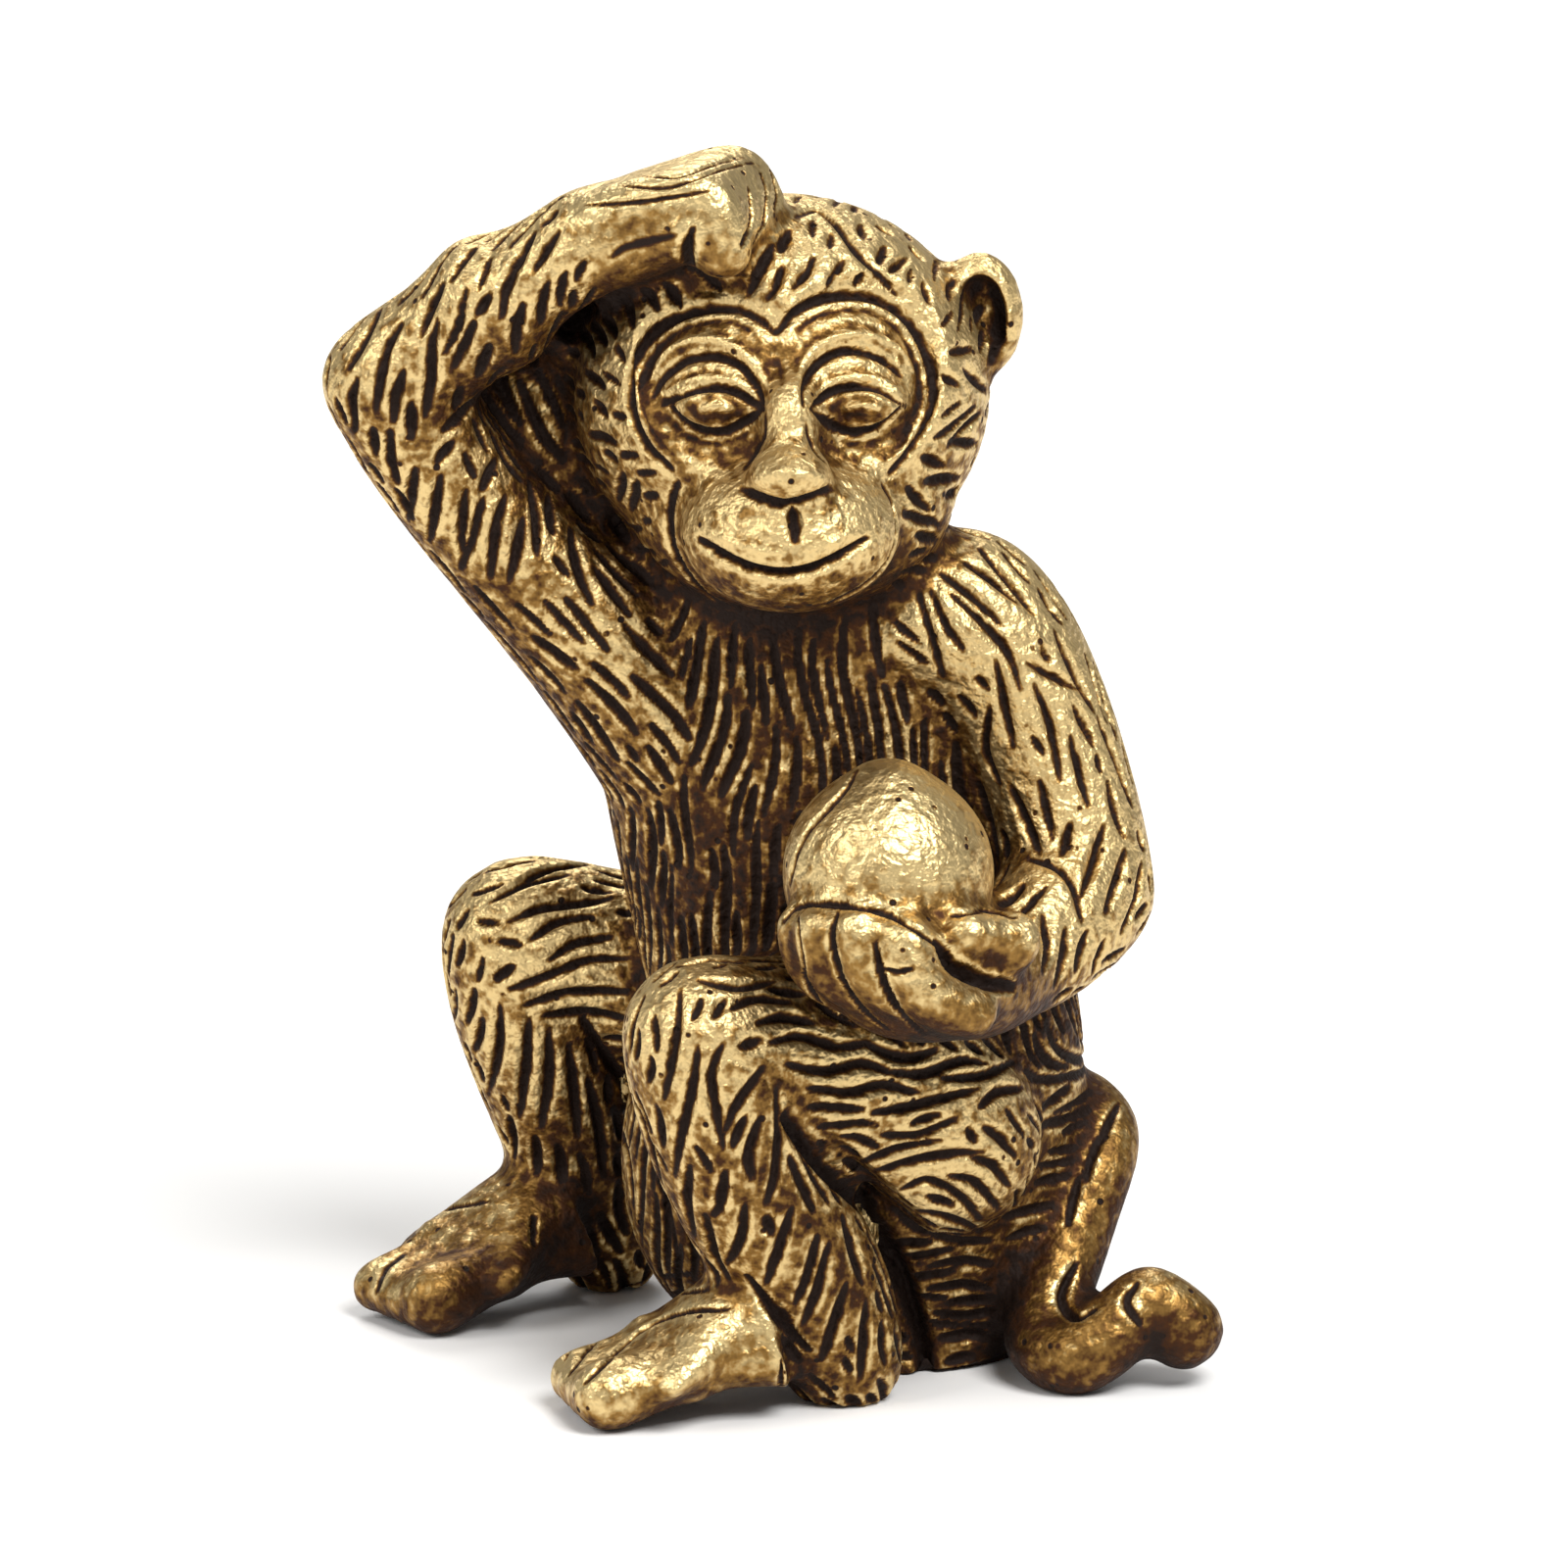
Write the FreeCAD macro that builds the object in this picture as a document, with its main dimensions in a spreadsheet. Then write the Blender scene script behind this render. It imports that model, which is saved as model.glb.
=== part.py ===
"""Seated monkey figurine in cast brass: one hand shades the brow and the other holds a peach.

The figure is built on an armature, as a sculptor builds one. Each station of the armature stands
off the one that carries it, and has the size of the oval section there: its radius, and the spread
that widens it across the limb. A limb is a loft through its stations. The face, the ears, the
raised arm and its web go by shares of the head, the holding hand by shares of the peach, and the
feet by shares of their length and height. The cast sections meet on flat planes at the joints, and
each is cut where it runs into the section that carries it. Lengths are in millimetres. The face
looks along -Y, +Z is up and the origin is at the middle of the footprint.
"""

import FreeCAD, Part

import math
import os

from FreeCAD import Placement, Rotation, Vector

SIZES = {
    # trunk, from the flat of the seat up into the head
    "seat_x": 3.9, "seat_y": 3.2, "seat_z": 0.0, "seat_radius": 4.2, "seat_spread": 0.1,
    "rump_x": 0.1, "rump_y": 0.2, "rump_z": 4.0, "rump_radius": 5.3, "rump_spread": 0.3,
    "belly_x": -0.7, "belly_y": -0.4, "belly_z": 5.5, "belly_radius": 5.8, "belly_spread": 0.8,
    "waist_x": -1.2, "waist_y": -0.4, "waist_z": 5.3, "waist_radius": 5.2, "waist_spread": 1.6,
    "ribs_x": -1.0, "ribs_y": -0.4, "ribs_z": 4.8, "ribs_radius": 4.7, "ribs_spread": 2.0,
    "chest_x": -0.4, "chest_y": -0.2, "chest_z": 3.8, "chest_radius": 4.2, "chest_spread": 2.3,
    "nape_x": -0.2, "nape_y": 0.0, "nape_z": 3.2, "nape_radius": 3.8, "nape_spread": 0.8,
    "crown_x": -0.1, "crown_y": 0.0, "crown_z": 3.4, "crown_radius": 2.6, "crown_spread": 0.2,
    # the lap, which fills the hollow between the legs
    "lap_x": -5.1, "lap_y": 0.4, "lap_z": 6.0, "lap_wide": 3.7, "lap_deep": 4.2, "lap_high": 5.6,
    # left leg, the near one; ankle and heel have their height from the floor
    "hip_left_x": 1.3, "hip_left_y": -4.6, "hip_left_z": 4.0,
    "hip_left_radius": 3.2, "hip_left_spread": 0.2,
    "thigh_left_x": -3.6, "thigh_left_y": -2.0, "thigh_left_z": 3.2,
    "thigh_left_radius": 3.3, "thigh_left_spread": 0.4,
    "knee_left_x": -3.8, "knee_left_y": -1.9, "knee_left_z": 1.0,
    "knee_left_radius": 2.75, "knee_left_spread": 0.0,
    "calf_left_x": 1.35, "calf_left_y": 0.3, "calf_left_z": -4.6,
    "calf_left_radius": 2.5, "calf_left_spread": 0.15,
    "ankle_left_x": 3.5, "ankle_left_y": 1.2, "ankle_left_z": 3.4,
    "ankle_left_radius": 2.2, "ankle_left_spread": 0.2,
    "heel_left_x": 0.8, "heel_left_y": 0.5, "heel_left_z": 1.3,
    "heel_left_radius": 1.9, "heel_left_spread": 0.1,
    # right leg, the far one
    "hip_right_x": -2.6, "hip_right_y": 2.8, "hip_right_z": 4.6,
    "hip_right_radius": 3.2, "hip_right_spread": 0.3,
    "thigh_right_x": -5.0, "thigh_right_y": 0.8, "thigh_right_z": 2.6,
    "thigh_right_radius": 2.9, "thigh_right_spread": 0.3,
    "knee_right_x": -4.2, "knee_right_y": 0.2, "knee_right_z": 0.8,
    "knee_right_radius": 2.9, "knee_right_spread": 0.0,
    "calf_right_x": 1.1, "calf_right_y": 1.0, "calf_right_z": -5.4,
    "calf_right_radius": 2.3, "calf_right_spread": 0.2,
    "ankle_right_x": 2.1, "ankle_right_y": 2.0, "ankle_right_z": 2.9,
    "ankle_right_radius": 1.9, "ankle_right_spread": 0.2,
    "heel_right_x": 0.4, "heel_right_y": 0.4, "heel_right_z": 1.3,
    "heel_right_radius": 1.7, "heel_right_spread": 0.1,
    # both feet
    "foot_long": 7.6, "foot_high": 2.9,
    # shoulder of the raised right arm; the rest of that arm goes by the head
    "armpit_right_x": -3.3, "armpit_right_y": 0.2, "armpit_right_z": -3.0,
    "armpit_right_radius": 3.4, "armpit_right_spread": 0.4,
    "shoulder_right_x": -3.3, "shoulder_right_y": -0.7, "shoulder_right_z": 4.1,
    "shoulder_right_radius": 2.85, "shoulder_right_spread": 0.3,
    "upper_right_radius": 2.15, "upper_right_spread": 0.2,
    "elbow_right_radius": 2.1, "elbow_right_spread": 0.0,
    "fore_right_radius": 2.25, "fore_right_spread": 0.1,
    "wrist_right_radius": 1.7, "wrist_right_spread": 0.1,
    "heel_of_hand_right_radius": 1.5, "heel_of_hand_right_spread": 0.6,
    "knuckles_right_radius": 1.2, "knuckles_right_spread": 0.9,
    "shading_finger_radius": 0.85,
    # left arm, which holds the peach
    "armpit_left_x": 2.7, "armpit_left_y": -0.2, "armpit_left_z": 0.0,
    "armpit_left_radius": 2.9, "armpit_left_spread": 0.3,
    "shoulder_left_x": 2.9, "shoulder_left_y": -0.8, "shoulder_left_z": 0.5,
    "shoulder_left_radius": 3.05, "shoulder_left_spread": 0.2,
    "upper_left_x": 2.4, "upper_left_y": -0.9, "upper_left_z": -4.0,
    "upper_left_radius": 2.5, "upper_left_spread": 0.15,
    "elbow_left_x": 1.0, "elbow_left_y": -1.3, "elbow_left_z": -3.8,
    "elbow_left_radius": 2.4, "elbow_left_spread": 0.0,
    "wrist_left_x": -2.2, "wrist_left_y": -4.0, "wrist_left_z": -1.5,
    "wrist_left_radius": 1.7, "wrist_left_spread": 0.1,
    # the peach, carried by the wrist; the hand that cups it goes by its radius
    "peach_x": -3.9, "peach_y": -0.9, "peach_z": 3.35, "peach_radius": 3.35, "peach_clearance": 0.04,
    # head, carried by the nape
    "head_x": -0.3, "head_y": -1.2, "head_z": 5.4,
    "head_wide": 6.65, "head_deep": 6.0, "head_high": 6.2,
    "mask_depth": 0.5, "socket_margin": 0.3, "socket_depth": 0.35,
    "mouth_width": 0.24, "mouth_depth": 0.35,
    "web_hole_radius": 0.35, "web_pinhole_radius": 0.2,
    # tail, with each station's height from the floor
    "tail_root_x": 3.2, "tail_root_y": 2.2, "tail_root_z": 5.6,
    "tail_bend_x": 2.4, "tail_bend_y": -0.6, "tail_bend_z": 7.0,
    "tail_top_x": 0.8, "tail_top_y": -1.8, "tail_top_z": 6.9,
    "tail_mid_x": -0.7, "tail_mid_y": -2.0, "tail_mid_z": 4.6,
    "tail_low_x": -0.8, "tail_low_y": -1.6, "tail_low_z": 2.6,
    "tail_turn_x": -0.3, "tail_turn_y": -1.4, "tail_turn_z": 1.3,
    "tail_base_x": 0.8, "tail_base_y": -0.9, "tail_base_z": 1.1,
    "tail_rise_x": 1.4, "tail_rise_y": 0.2, "tail_rise_z": 1.9,
    "tail_hook_x": 1.1, "tail_hook_y": 0.6, "tail_hook_z": 2.6,
    "tail_tip_x": 1.1, "tail_tip_y": 0.0, "tail_tip_z": 1.8,
    "tail_radius": 1.25, "tail_tip_radius": 1.3,
    # how far the cutting planes and the floor reach past the figure
    "parting_reach": 60.0,
}

TRUNK = ["seat", "rump", "belly", "waist", "ribs", "chest", "nape", "crown"]
TAIL = [f"tail_{name}" for name in (
    "root", "bend", "top", "mid", "low", "turn", "base", "rise", "hook", "tip"
)]
LIMB_CHAINS = [
    TRUNK,
    ["seat", "lap"],
    ["nape", "head"],
    ["chest", "armpit_right", "shoulder_right"],
    ["chest", "armpit_left", "shoulder_left", "upper_left", "elbow_left", "wrist_left", "peach"],
    ["rump", "hip_left", "thigh_left", "knee_left", "calf_left"],
    ["knee_left", "ankle_left", "heel_left"],
    ["rump", "hip_right", "thigh_right", "knee_right", "calf_right"],
    ["knee_right", "ankle_right", "heel_right"],
    ["rump"] + TAIL,
]
# which station carries each, and which have their height from the floor
CARRIED_BY = {later: earlier for chain in LIMB_CHAINS for earlier, later in zip(chain, chain[1:])}
GROUNDED = {"ankle_left", "heel_left", "ankle_right", "heel_right", *TAIL}

# stations of the raised arm and the web, from the middle of the head, as shares of its half sizes
HEAD_STATION_SHARES = {
    "upper_right": (-1.4887, -0.05, -0.5645),
    "elbow_right": (-1.8647, -0.2, 0.0806),
    "fore_right": (-1.3383, -0.35, 0.5565),
    "wrist_right": (-0.9023, -0.5167, 0.9032),
    "heel_of_hand_right": (-0.5714, -0.5333, 1.0),
    "knuckles_right": (-0.3308, -0.5333, 1.0484),
    "web": (-1.0827, 0.1333, -0.4032),
}
# place and half sizes of the forms of the head, as shares of the head's half sizes
HEAD_FORM_SHARES = {
    "skull": ((0, 0, 0), (1, 1, 1)),
    "jaw": ((0.045, -0.217, -0.452), (0.797, 0.767, 0.645)),
    "muzzle": ((0.045, -0.85, -0.532), (0.519, 0.517, 0.419)),
    "nose": ((0.045, -1.183, -0.153), (0.195, 0.225, 0.153)),
    "bridge": ((0.045, -0.933, 0.016), (0.143, 0.233, 0.29)),
    "web": (HEAD_STATION_SHARES["web"], (0.481, 0.167, 0.661)),
}
FACE_ASIDE_SHARE = 0.045
MASK_RADIUS_SHARE, MASK_SPREAD_SHARE, MASK_RISE_SHARE = 0.444, 0.301, 0.274
EYE_SPREAD_SHARE, EYE_RISE_SHARE = 0.353, 0.121
EYE_SIZE_SHARES = (0.195, 0.133, 0.121)
SMILE_RADIUS_SHARE = 0.504
SMILE_HALF_ANGLE = 55.0
EAR_PLACE_SHARES, EAR_SIZE_SHARES = (0.947, 0, 0.387), (0.211, 0.167, 0.331)
EAR_CUP_FORWARD_SHARE, EAR_CUP_SIZE_SHARES = 0.092, (0.135, 0.167, 0.25)
WEB_HOLE_SHARES, WEB_PINHOLE_SHARES = (-0.098, 0.282), (0.03, 0.161)

# fingers of the raised hand, as shares of their radius
SHADING_GAP_SHARE, SHADING_FAN_SHARE, SHADING_BACK_SHARE = 1.176, 0.471, 3.882
SHADING_RISE_SHARE, SHADING_REACH_SHARE = 0.824, 0.765
SHADING_DROP_SHARES, SHADING_TIP_SHARES = (1.765, 1.176, 1.176, 1.176), (1.118, 1.0, 1.0, 1.0)

# radius and reach, as shares of the radius, of the rings that round off a free end
ROUNDED_END_SHARES = [(0.90, 0.436), (0.60, 0.80), (0.22, 0.976)]
# height and radius of the rings of the peach, as shares of its radius, from its foot to its tip
PEACH_RING_SHARES = [
    (-0.985, 0.17), (-0.86, 0.51), (-0.55, 0.835), (-0.1, 0.995), (0.35, 0.94), (0.72, 0.70),
    (0.99, 0.36), (1.1, 0.15),
]
CLEFT_RADIUS_SHARE, CLEFT_RING_SHARE = 0.104, 1.057
CLEFT_TURN = 40.0
# the holding hand, as shares of the peach's radius
PALM_SIZE_SHARES, PALM_DROP_SHARES = (0.925, 0.776, 0.567), (0.358, -0.448, -0.925)
FINGER_RADIUS_SHARE, LITTLE_FINGER_RADIUS_SHARE = 0.224, 0.269
# stations of the fingers round the peach, from the palm to the tip, as shares of their ring
FINGER_SHARES = {
    "index": [(0.10, -0.28, -1.00), (-0.46, -0.38, -0.76), (-0.65, -0.44, -0.50), (-0.68, -0.48, -0.30)],
    "middle": [(0.25, -0.55, -0.95), (-0.28, -0.73, -0.70), (-0.50, -0.74, -0.46), (-0.54, -0.75, -0.24)],
    "ring": [(0.42, -0.70, -0.90), (0.02, -0.93, -0.68), (-0.20, -0.94, -0.43), (-0.23, -0.92, -0.20)],
    "little": [(0.66, -0.72, -0.85), (0.38, -0.97, -0.72), (0.19, -0.99, -0.49), (0.14, -0.95, -0.28)],
    "thumb": [(1.02, -0.46, -0.46), (0.82, -0.68, -0.33), (0.62, -0.78, -0.27)],
}

# the sole: reach as a share of the foot's length; height, radius and spread as shares of its height
SOLE_SHARES = [(0.0, 0.931, 0.69, 0.103), (0.474, 0.879, 0.517, 0.241), (0.789, 0.466, 0.328, 0.31)]
# the small toes: reach as a share of the foot's length; height and radius as shares of its height
TOE_SHARES = [(0.132, 1.0, 0.31), (0.684, 0.707, 0.293), (1.0, 0.345, 0.293)]
GREAT_TOE_SHARES = [(0.132, 0.793, 0.431), (0.605, 0.603, 0.362), (0.961, 0.397, 0.397)]
# how far aside the toes lie, the great toe first, as shares of the foot's height
TOE_ASIDE_SHARES = (0.448, 0.164, -0.164, -0.491)
FOOT_PARTING_SHARE = 0.263
FOOT_PARTING_TILT = 18.0
FOOT_TURNS = {"left": 196.0, "right": 216.0}

ACROSS_FIGURE = Vector(1, 0, 0)
THROUGH_FIGURE = Vector(0, 1, 0)
UP = Vector(0, 0, 1)


def new_sheet(doc):
    """Write every driving dimension into the spreadsheet, one row each."""
    sheet = doc.addObject("Spreadsheet::Sheet", "Sizes")
    for row, (alias, value) in enumerate(SIZES.items(), start=1):
        sheet.set(f"A{row}", alias)
        sheet.set(f"B{row}", str(value))
        sheet.setAlias(f"B{row}", alias)
    doc.recompute()
    return sheet


DOC = FreeCAD.newDocument("MonkeyFigurine")
SHEET = new_sheet(DOC)


def size(alias):
    """One driving dimension, read from the sheet."""
    return float(getattr(SHEET, alias))


def share_of(alias, share):
    """A share of a driving dimension, as an expression on the sheet."""
    return f"Sizes.{alias} * {share}"


def place(station):
    """Where a station of the armature is."""
    if station in HEAD_STATION_SHARES:
        return head_point(HEAD_STATION_SHARES[station])
    point = Vector(size(station + "_x"), size(station + "_y"), size(station + "_z"))
    if station in CARRIED_BY:
        point += place(CARRIED_BY[station])
    if station in GROUNDED:
        point.z = size(station + "_z")
    return point


def head_point(shares):
    """A point some shares of the head's half sizes away from the middle of the head."""
    across, through, up = shares
    return place("head") + Vector(
        across * size("head_wide"), through * size("head_deep"), up * size("head_high")
    )


def oval(centre, along, across, radius, spread="0"):
    """One oval section of a limb; its radius and spread are expressions on the sheet."""
    ring = DOC.addObject("Part::Ellipse", "Section")
    ring.setExpression("MajorRadius", f"({radius}) + ({spread})")
    ring.setExpression("MinorRadius", radius)
    ring.Placement = Placement(centre, Rotation(across, Vector(), along, "ZXY"))
    return ring


def directions(points):
    """Which way the armature runs at each point, from its neighbours on either side."""
    ways = []
    for index in range(len(points)):
        ahead = points[min(index + 1, len(points) - 1)]
        behind = points[max(index - 1, 0)]
        ways.append((ahead - behind).normalize())
    return ways


def loft(label, rings):
    """A closed solid through the rings."""
    solid = DOC.addObject("Part::Loft", label)
    solid.Sections = rings
    solid.Solid = True
    return solid


def end_rings(centre, outwards, along, across, alias, share):
    """The rings that round off a free end, from the full section outwards."""
    reach = size(alias) * share
    return [
        oval(
            centre + outwards * (reach * reach_share), along, across,
            f"{share_of(alias, share)} * {ring_share}",
        )
        for ring_share, reach_share in ROUNDED_END_SHARES
    ]


def rod(label, points, radii, across, spreads=None, first=True, last=True):
    """A rod through the points, rounded off where asked; a radius is an alias and a share of it."""
    spreads = spreads or ["0"] * len(points)
    ways = directions(points)
    rings = [
        oval(point, way, across, share_of(*radius), spread)
        for point, way, radius, spread in zip(points, ways, radii, spreads)
    ]
    if first:
        rings = end_rings(points[0], -ways[0], ways[0], across, *radii[0])[::-1] + rings
    if last:
        rings += end_rings(points[-1], ways[-1], ways[-1], across, *radii[-1])
    return loft(label, rings)


def limb(label, stations, across, first=True, last=True):
    """A limb of the armature: a rod whose sections are named by its stations."""
    return rod(
        label,
        [place(station) for station in stations],
        [(f"{station}_radius", 1) for station in stations],
        across,
        [f"Sizes.{station}_spread" for station in stations],
        first,
        last,
    )


def egg(label, centre, wide, deep, high):
    """An ellipsoid with its three half sizes as expressions on the sheet."""
    solid = DOC.addObject("Part::Ellipsoid", label)
    solid.setExpression("Radius2", wide)
    solid.setExpression("Radius3", deep)
    solid.setExpression("Radius1", high)
    solid.Placement.Base = centre
    return solid


def head_egg(label, centre, shares, less="0"):
    """An ellipsoid whose half sizes are shares of the head's, less a depth all round."""
    return egg(label, centre, *[
        f"{share_of(alias, share)} - {less}"
        for alias, share in zip(("head_wide", "head_deep", "head_high"), shares)
    ])


def head_form(name, less="0"):
    """One of the forms of the head, or the same drawn in by a depth all round."""
    place_shares, size_shares = HEAD_FORM_SHARES[name]
    return head_egg(name, head_point(place_shares), size_shares, less)


def cut(label, base, *tools):
    """The base less every tool, one after another."""
    for tool in tools:
        rest = DOC.addObject("Part::Cut", label)
        rest.Base = base
        rest.Tool = tool
        base = rest
    return base


def fuse(label, *solids):
    """Several solids made into one."""
    whole = DOC.addObject("Part::MultiFuse", label)
    whole.Shapes = list(solids)
    return whole


def round_block(label, base, facing, radius, height):
    """A cylinder from its base point along its facing, with its sizes as expressions."""
    block = DOC.addObject("Part::Cylinder", label)
    block.setExpression("Radius", radius)
    block.setExpression("Height", height)
    block.Placement = Placement(base, Rotation(UP, facing))
    return block


def beyond(point, facing):
    """A block that takes away all that lies beyond the plane through the point."""
    return round_block("PartingBlock", point, facing, "Sizes.parting_reach", "Sizes.parting_reach")


def mitre(before, joint, after):
    """The point and the facing of the plane on which two sections meet at a joint."""
    centre = place(joint)
    onwards = (centre - place(before)).normalize() + (place(after) - centre).normalize()
    return centre, onwards.normalize()


def torso_body(head, floor):
    """The trunk from the flat of the seat up to the head, with the lap between the legs."""
    rings = [
        oval(place(name), UP, ACROSS_FIGURE, f"Sizes.{name}_radius", f"Sizes.{name}_spread")
        for name in TRUNK
    ]
    lap = egg("lap", place("lap"), "Sizes.lap_wide", "Sizes.lap_deep", "Sizes.lap_high")
    return cut("torso", fuse("trunk", loft("spine", rings), lap), head, floor)


def head_body():
    """Skull, jaw and muzzle, with the sunk mask, the eyes, the nose and the mouth."""
    masked = cut("masked_skull", head_form("skull"), *[mask_lobe(side) for side in (-1, 1)])
    mask_floor = head_form("skull", "Sizes.mask_depth")
    forms = [head_form(name) for name in ("jaw", "muzzle", "bridge", "nose")]
    blank = fuse("face_blank", masked, mask_floor, *forms)
    carved = cut("carved_face", blank, smile(), *[socket(side) for side in (-1, 1)])
    return fuse("head", carved, *[eyeball(side) for side in (-1, 1)])


def mask_lobe(side):
    """One lobe of the heart-shaped rim that the mask is sunk inside."""
    base = head_point((FACE_ASIDE_SHARE + side * MASK_SPREAD_SHARE, 0, MASK_RISE_SHARE))
    return round_block(
        "mask_lobe", base, -THROUGH_FIGURE, share_of("head_wide", MASK_RADIUS_SHARE), "2 * Sizes.head_deep"
    )


def eye_point(side, sink):
    """A point sunk under the floor of the mask where an eye is."""
    across = FACE_ASIDE_SHARE + side * EYE_SPREAD_SHARE
    bulge = math.sqrt(1 - across ** 2 - EYE_RISE_SHARE ** 2)
    surface = (size("head_deep") - size("mask_depth")) * bulge
    return head_point((across, 0, EYE_RISE_SHARE)) - THROUGH_FIGURE * (surface - sink)


def eyeball(side):
    """One eyeball, sunk in its socket."""
    return head_egg("eyeball", eye_point(side, size("socket_depth")), EYE_SIZE_SHARES)


def socket(side):
    """The socket that is cut for an eyeball, a margin wider."""
    return head_egg("socket", eye_point(side, 0), EYE_SIZE_SHARES, "(-Sizes.socket_margin)")


def smile():
    """The groove of the mouth: an arc about the nose, as deep as the muzzle drawn in."""
    muzzle_place, muzzle_sizes = HEAD_FORM_SHARES["muzzle"]
    nose_place = HEAD_FORM_SHARES["nose"][0]
    centre = head_point((muzzle_place[0], muzzle_place[1], nose_place[2]))
    lean = Rotation(ACROSS_FIGURE, 90).multiply(Rotation(UP, -90 - SMILE_HALF_ANGLE))
    arcs = []
    for edge in ("+", "-"):
        radius = f"{share_of('head_wide', SMILE_RADIUS_SHARE)} {edge} Sizes.mouth_width / 2"
        reach = f"2 * {share_of('head_deep', muzzle_sizes[1])}"
        arc = round_block("smile_arc", centre, UP, radius, reach)
        arc.Angle = 2 * SMILE_HALF_ANGLE
        arc.Placement = Placement(centre, lean)
        arcs.append(arc)
    return cut("smile", *arcs, head_form("muzzle", "Sizes.mouth_depth"))


def ear_body(label, side, *carriers):
    """A cupped ear on one side of the head."""
    across, through, up = EAR_PLACE_SHARES
    form = head_egg("ear_form", head_point((side * across, through, up)), EAR_SIZE_SHARES)
    cup_centre = head_point((side * across, through - EAR_CUP_FORWARD_SHARE, up))
    return cut(label, form, head_egg("ear_cup", cup_centre, EAR_CUP_SIZE_SHARES), *carriers)


def web_body():
    """The thin web behind the raised arm, with its two casting holes."""
    holes = [
        through_hole("web_hole_radius", WEB_HOLE_SHARES),
        through_hole("web_pinhole_radius", WEB_PINHOLE_SHARES),
    ]
    return cut("pierced_web", head_form("web"), *holes)


def through_hole(radius, shares):
    """A round hole from front to back through the web."""
    across, through, up = HEAD_STATION_SHARES["web"]
    depth_share = HEAD_FORM_SHARES["web"][1][1]
    aside, rise = shares
    start = head_point((across + aside, through - 2 * depth_share, up + rise))
    reach = share_of("head_deep", 4 * depth_share)
    return round_block("hole", start, THROUGH_FIGURE, f"Sizes.{radius}", reach)


def raised_arm(trunk, head):
    """Upper arm, forearm and hand of the arm whose hand lies on the brow."""
    upper = limb(
        "upper_arm_form",
        ["armpit_right", "shoulder_right", "upper_right", "elbow_right"],
        THROUGH_FIGURE,
        first=False,
    )
    fore = limb("forearm_form", ["elbow_right", "fore_right", "wrist_right"], THROUGH_FIGURE)
    elbow, onwards = mitre("upper_right", "elbow_right", "fore_right")
    wrist, outwards = mitre("fore_right", "wrist_right", "heel_of_hand_right")
    fore_part = cut("right_forearm", fore, beyond(elbow, -onwards), beyond(wrist, outwards), head)
    winged = fuse("winged_arm", cut("upper_arm", upper, beyond(elbow, onwards)), web_body())
    upper_part = cut("right_upper_arm", winged, trunk, head, fore_part)
    hand_part = cut("right_hand", raised_hand(), beyond(wrist, -outwards), head)
    return upper_part, fore_part, hand_part


def raised_hand():
    """The back of the raised hand and its four fingers, bent down over the brow."""
    back = limb(
        "back_of_hand", ["wrist_right", "heel_of_hand_right", "knuckles_right"], THROUGH_FIGURE
    )
    radius = size("shading_finger_radius")
    knuckles = place("knuckles_right")
    fingers = []
    for count, (drop_share, tip_share) in enumerate(zip(SHADING_DROP_SHARES, SHADING_TIP_SHARES)):
        nearness = 1.5 - count
        row = Vector(-nearness * SHADING_FAN_SHARE, -nearness * SHADING_GAP_SHARE, 0) * radius
        knuckle = knuckles + row + Vector(SHADING_REACH_SHARE, 0, SHADING_RISE_SHARE) * radius
        root = knuckles + row / 2 - ACROSS_FIGURE * (SHADING_BACK_SHARE * radius)
        hump = (root + knuckle) / 2 + UP * (SHADING_RISE_SHARE / 2 * radius)
        tip = knuckle + Vector(SHADING_REACH_SHARE / 2, 0, -drop_share) * radius
        radii = [("shading_finger_radius", 1)] * 3 + [("shading_finger_radius", tip_share)]
        fingers.append(rod("finger", [root, hump, knuckle, tip], radii, THROUGH_FIGURE))
    return fuse("raised_hand", back, *fingers)


def holding_arm(trunk, head):
    """Upper arm, forearm and hand of the arm that holds the peach, and the peach."""
    upper = limb(
        "upper_arm_form",
        ["armpit_left", "shoulder_left", "upper_left", "elbow_left"],
        THROUGH_FIGURE,
        first=False,
    )
    fore = limb("forearm_form", ["elbow_left", "wrist_left"], UP)
    elbow, onwards = mitre("upper_left", "elbow_left", "wrist_left")
    wrist = place("wrist_left")
    outwards = (wrist - place("elbow_left")).normalize()
    peach = peach_body(trunk)
    hand = cut("left_hand", holding_hand(), beyond(wrist, -outwards), peach_form("Sizes.peach_clearance"))
    fore_part = cut("left_forearm", fore, beyond(elbow, -onwards), beyond(wrist, outwards), trunk, peach)
    upper_part = cut("left_upper_arm", upper, beyond(elbow, onwards), trunk, head)
    return upper_part, fore_part, hand, peach


def peach_form(clearance="0"):
    """The turned form of the peach with its soft point, or the same a clearance larger."""
    rings = [
        oval(
            place("peach") + UP * (height_share * size("peach_radius")), UP, ACROSS_FIGURE,
            f"{share_of('peach_radius', ring_share)} + {clearance}",
        )
        for height_share, ring_share in PEACH_RING_SHARES
    ]
    return loft("peach_form", rings)


def peach_body(trunk):
    """The peach with the cleft down its side."""
    cleft = DOC.addObject("Part::Torus", "Cleft")
    cleft.setExpression("Radius1", share_of("peach_radius", CLEFT_RING_SHARE))
    cleft.setExpression("Radius2", share_of("peach_radius", CLEFT_RADIUS_SHARE))
    cleft.Angle3 = 180
    turn = Rotation(UP, CLEFT_TURN).multiply(Rotation(ACROSS_FIGURE, 90))
    cleft.Placement = Placement(place("peach"), turn.multiply(Rotation(UP, 90)))
    return cut("peach", peach_form(), cleft, trunk)


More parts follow.
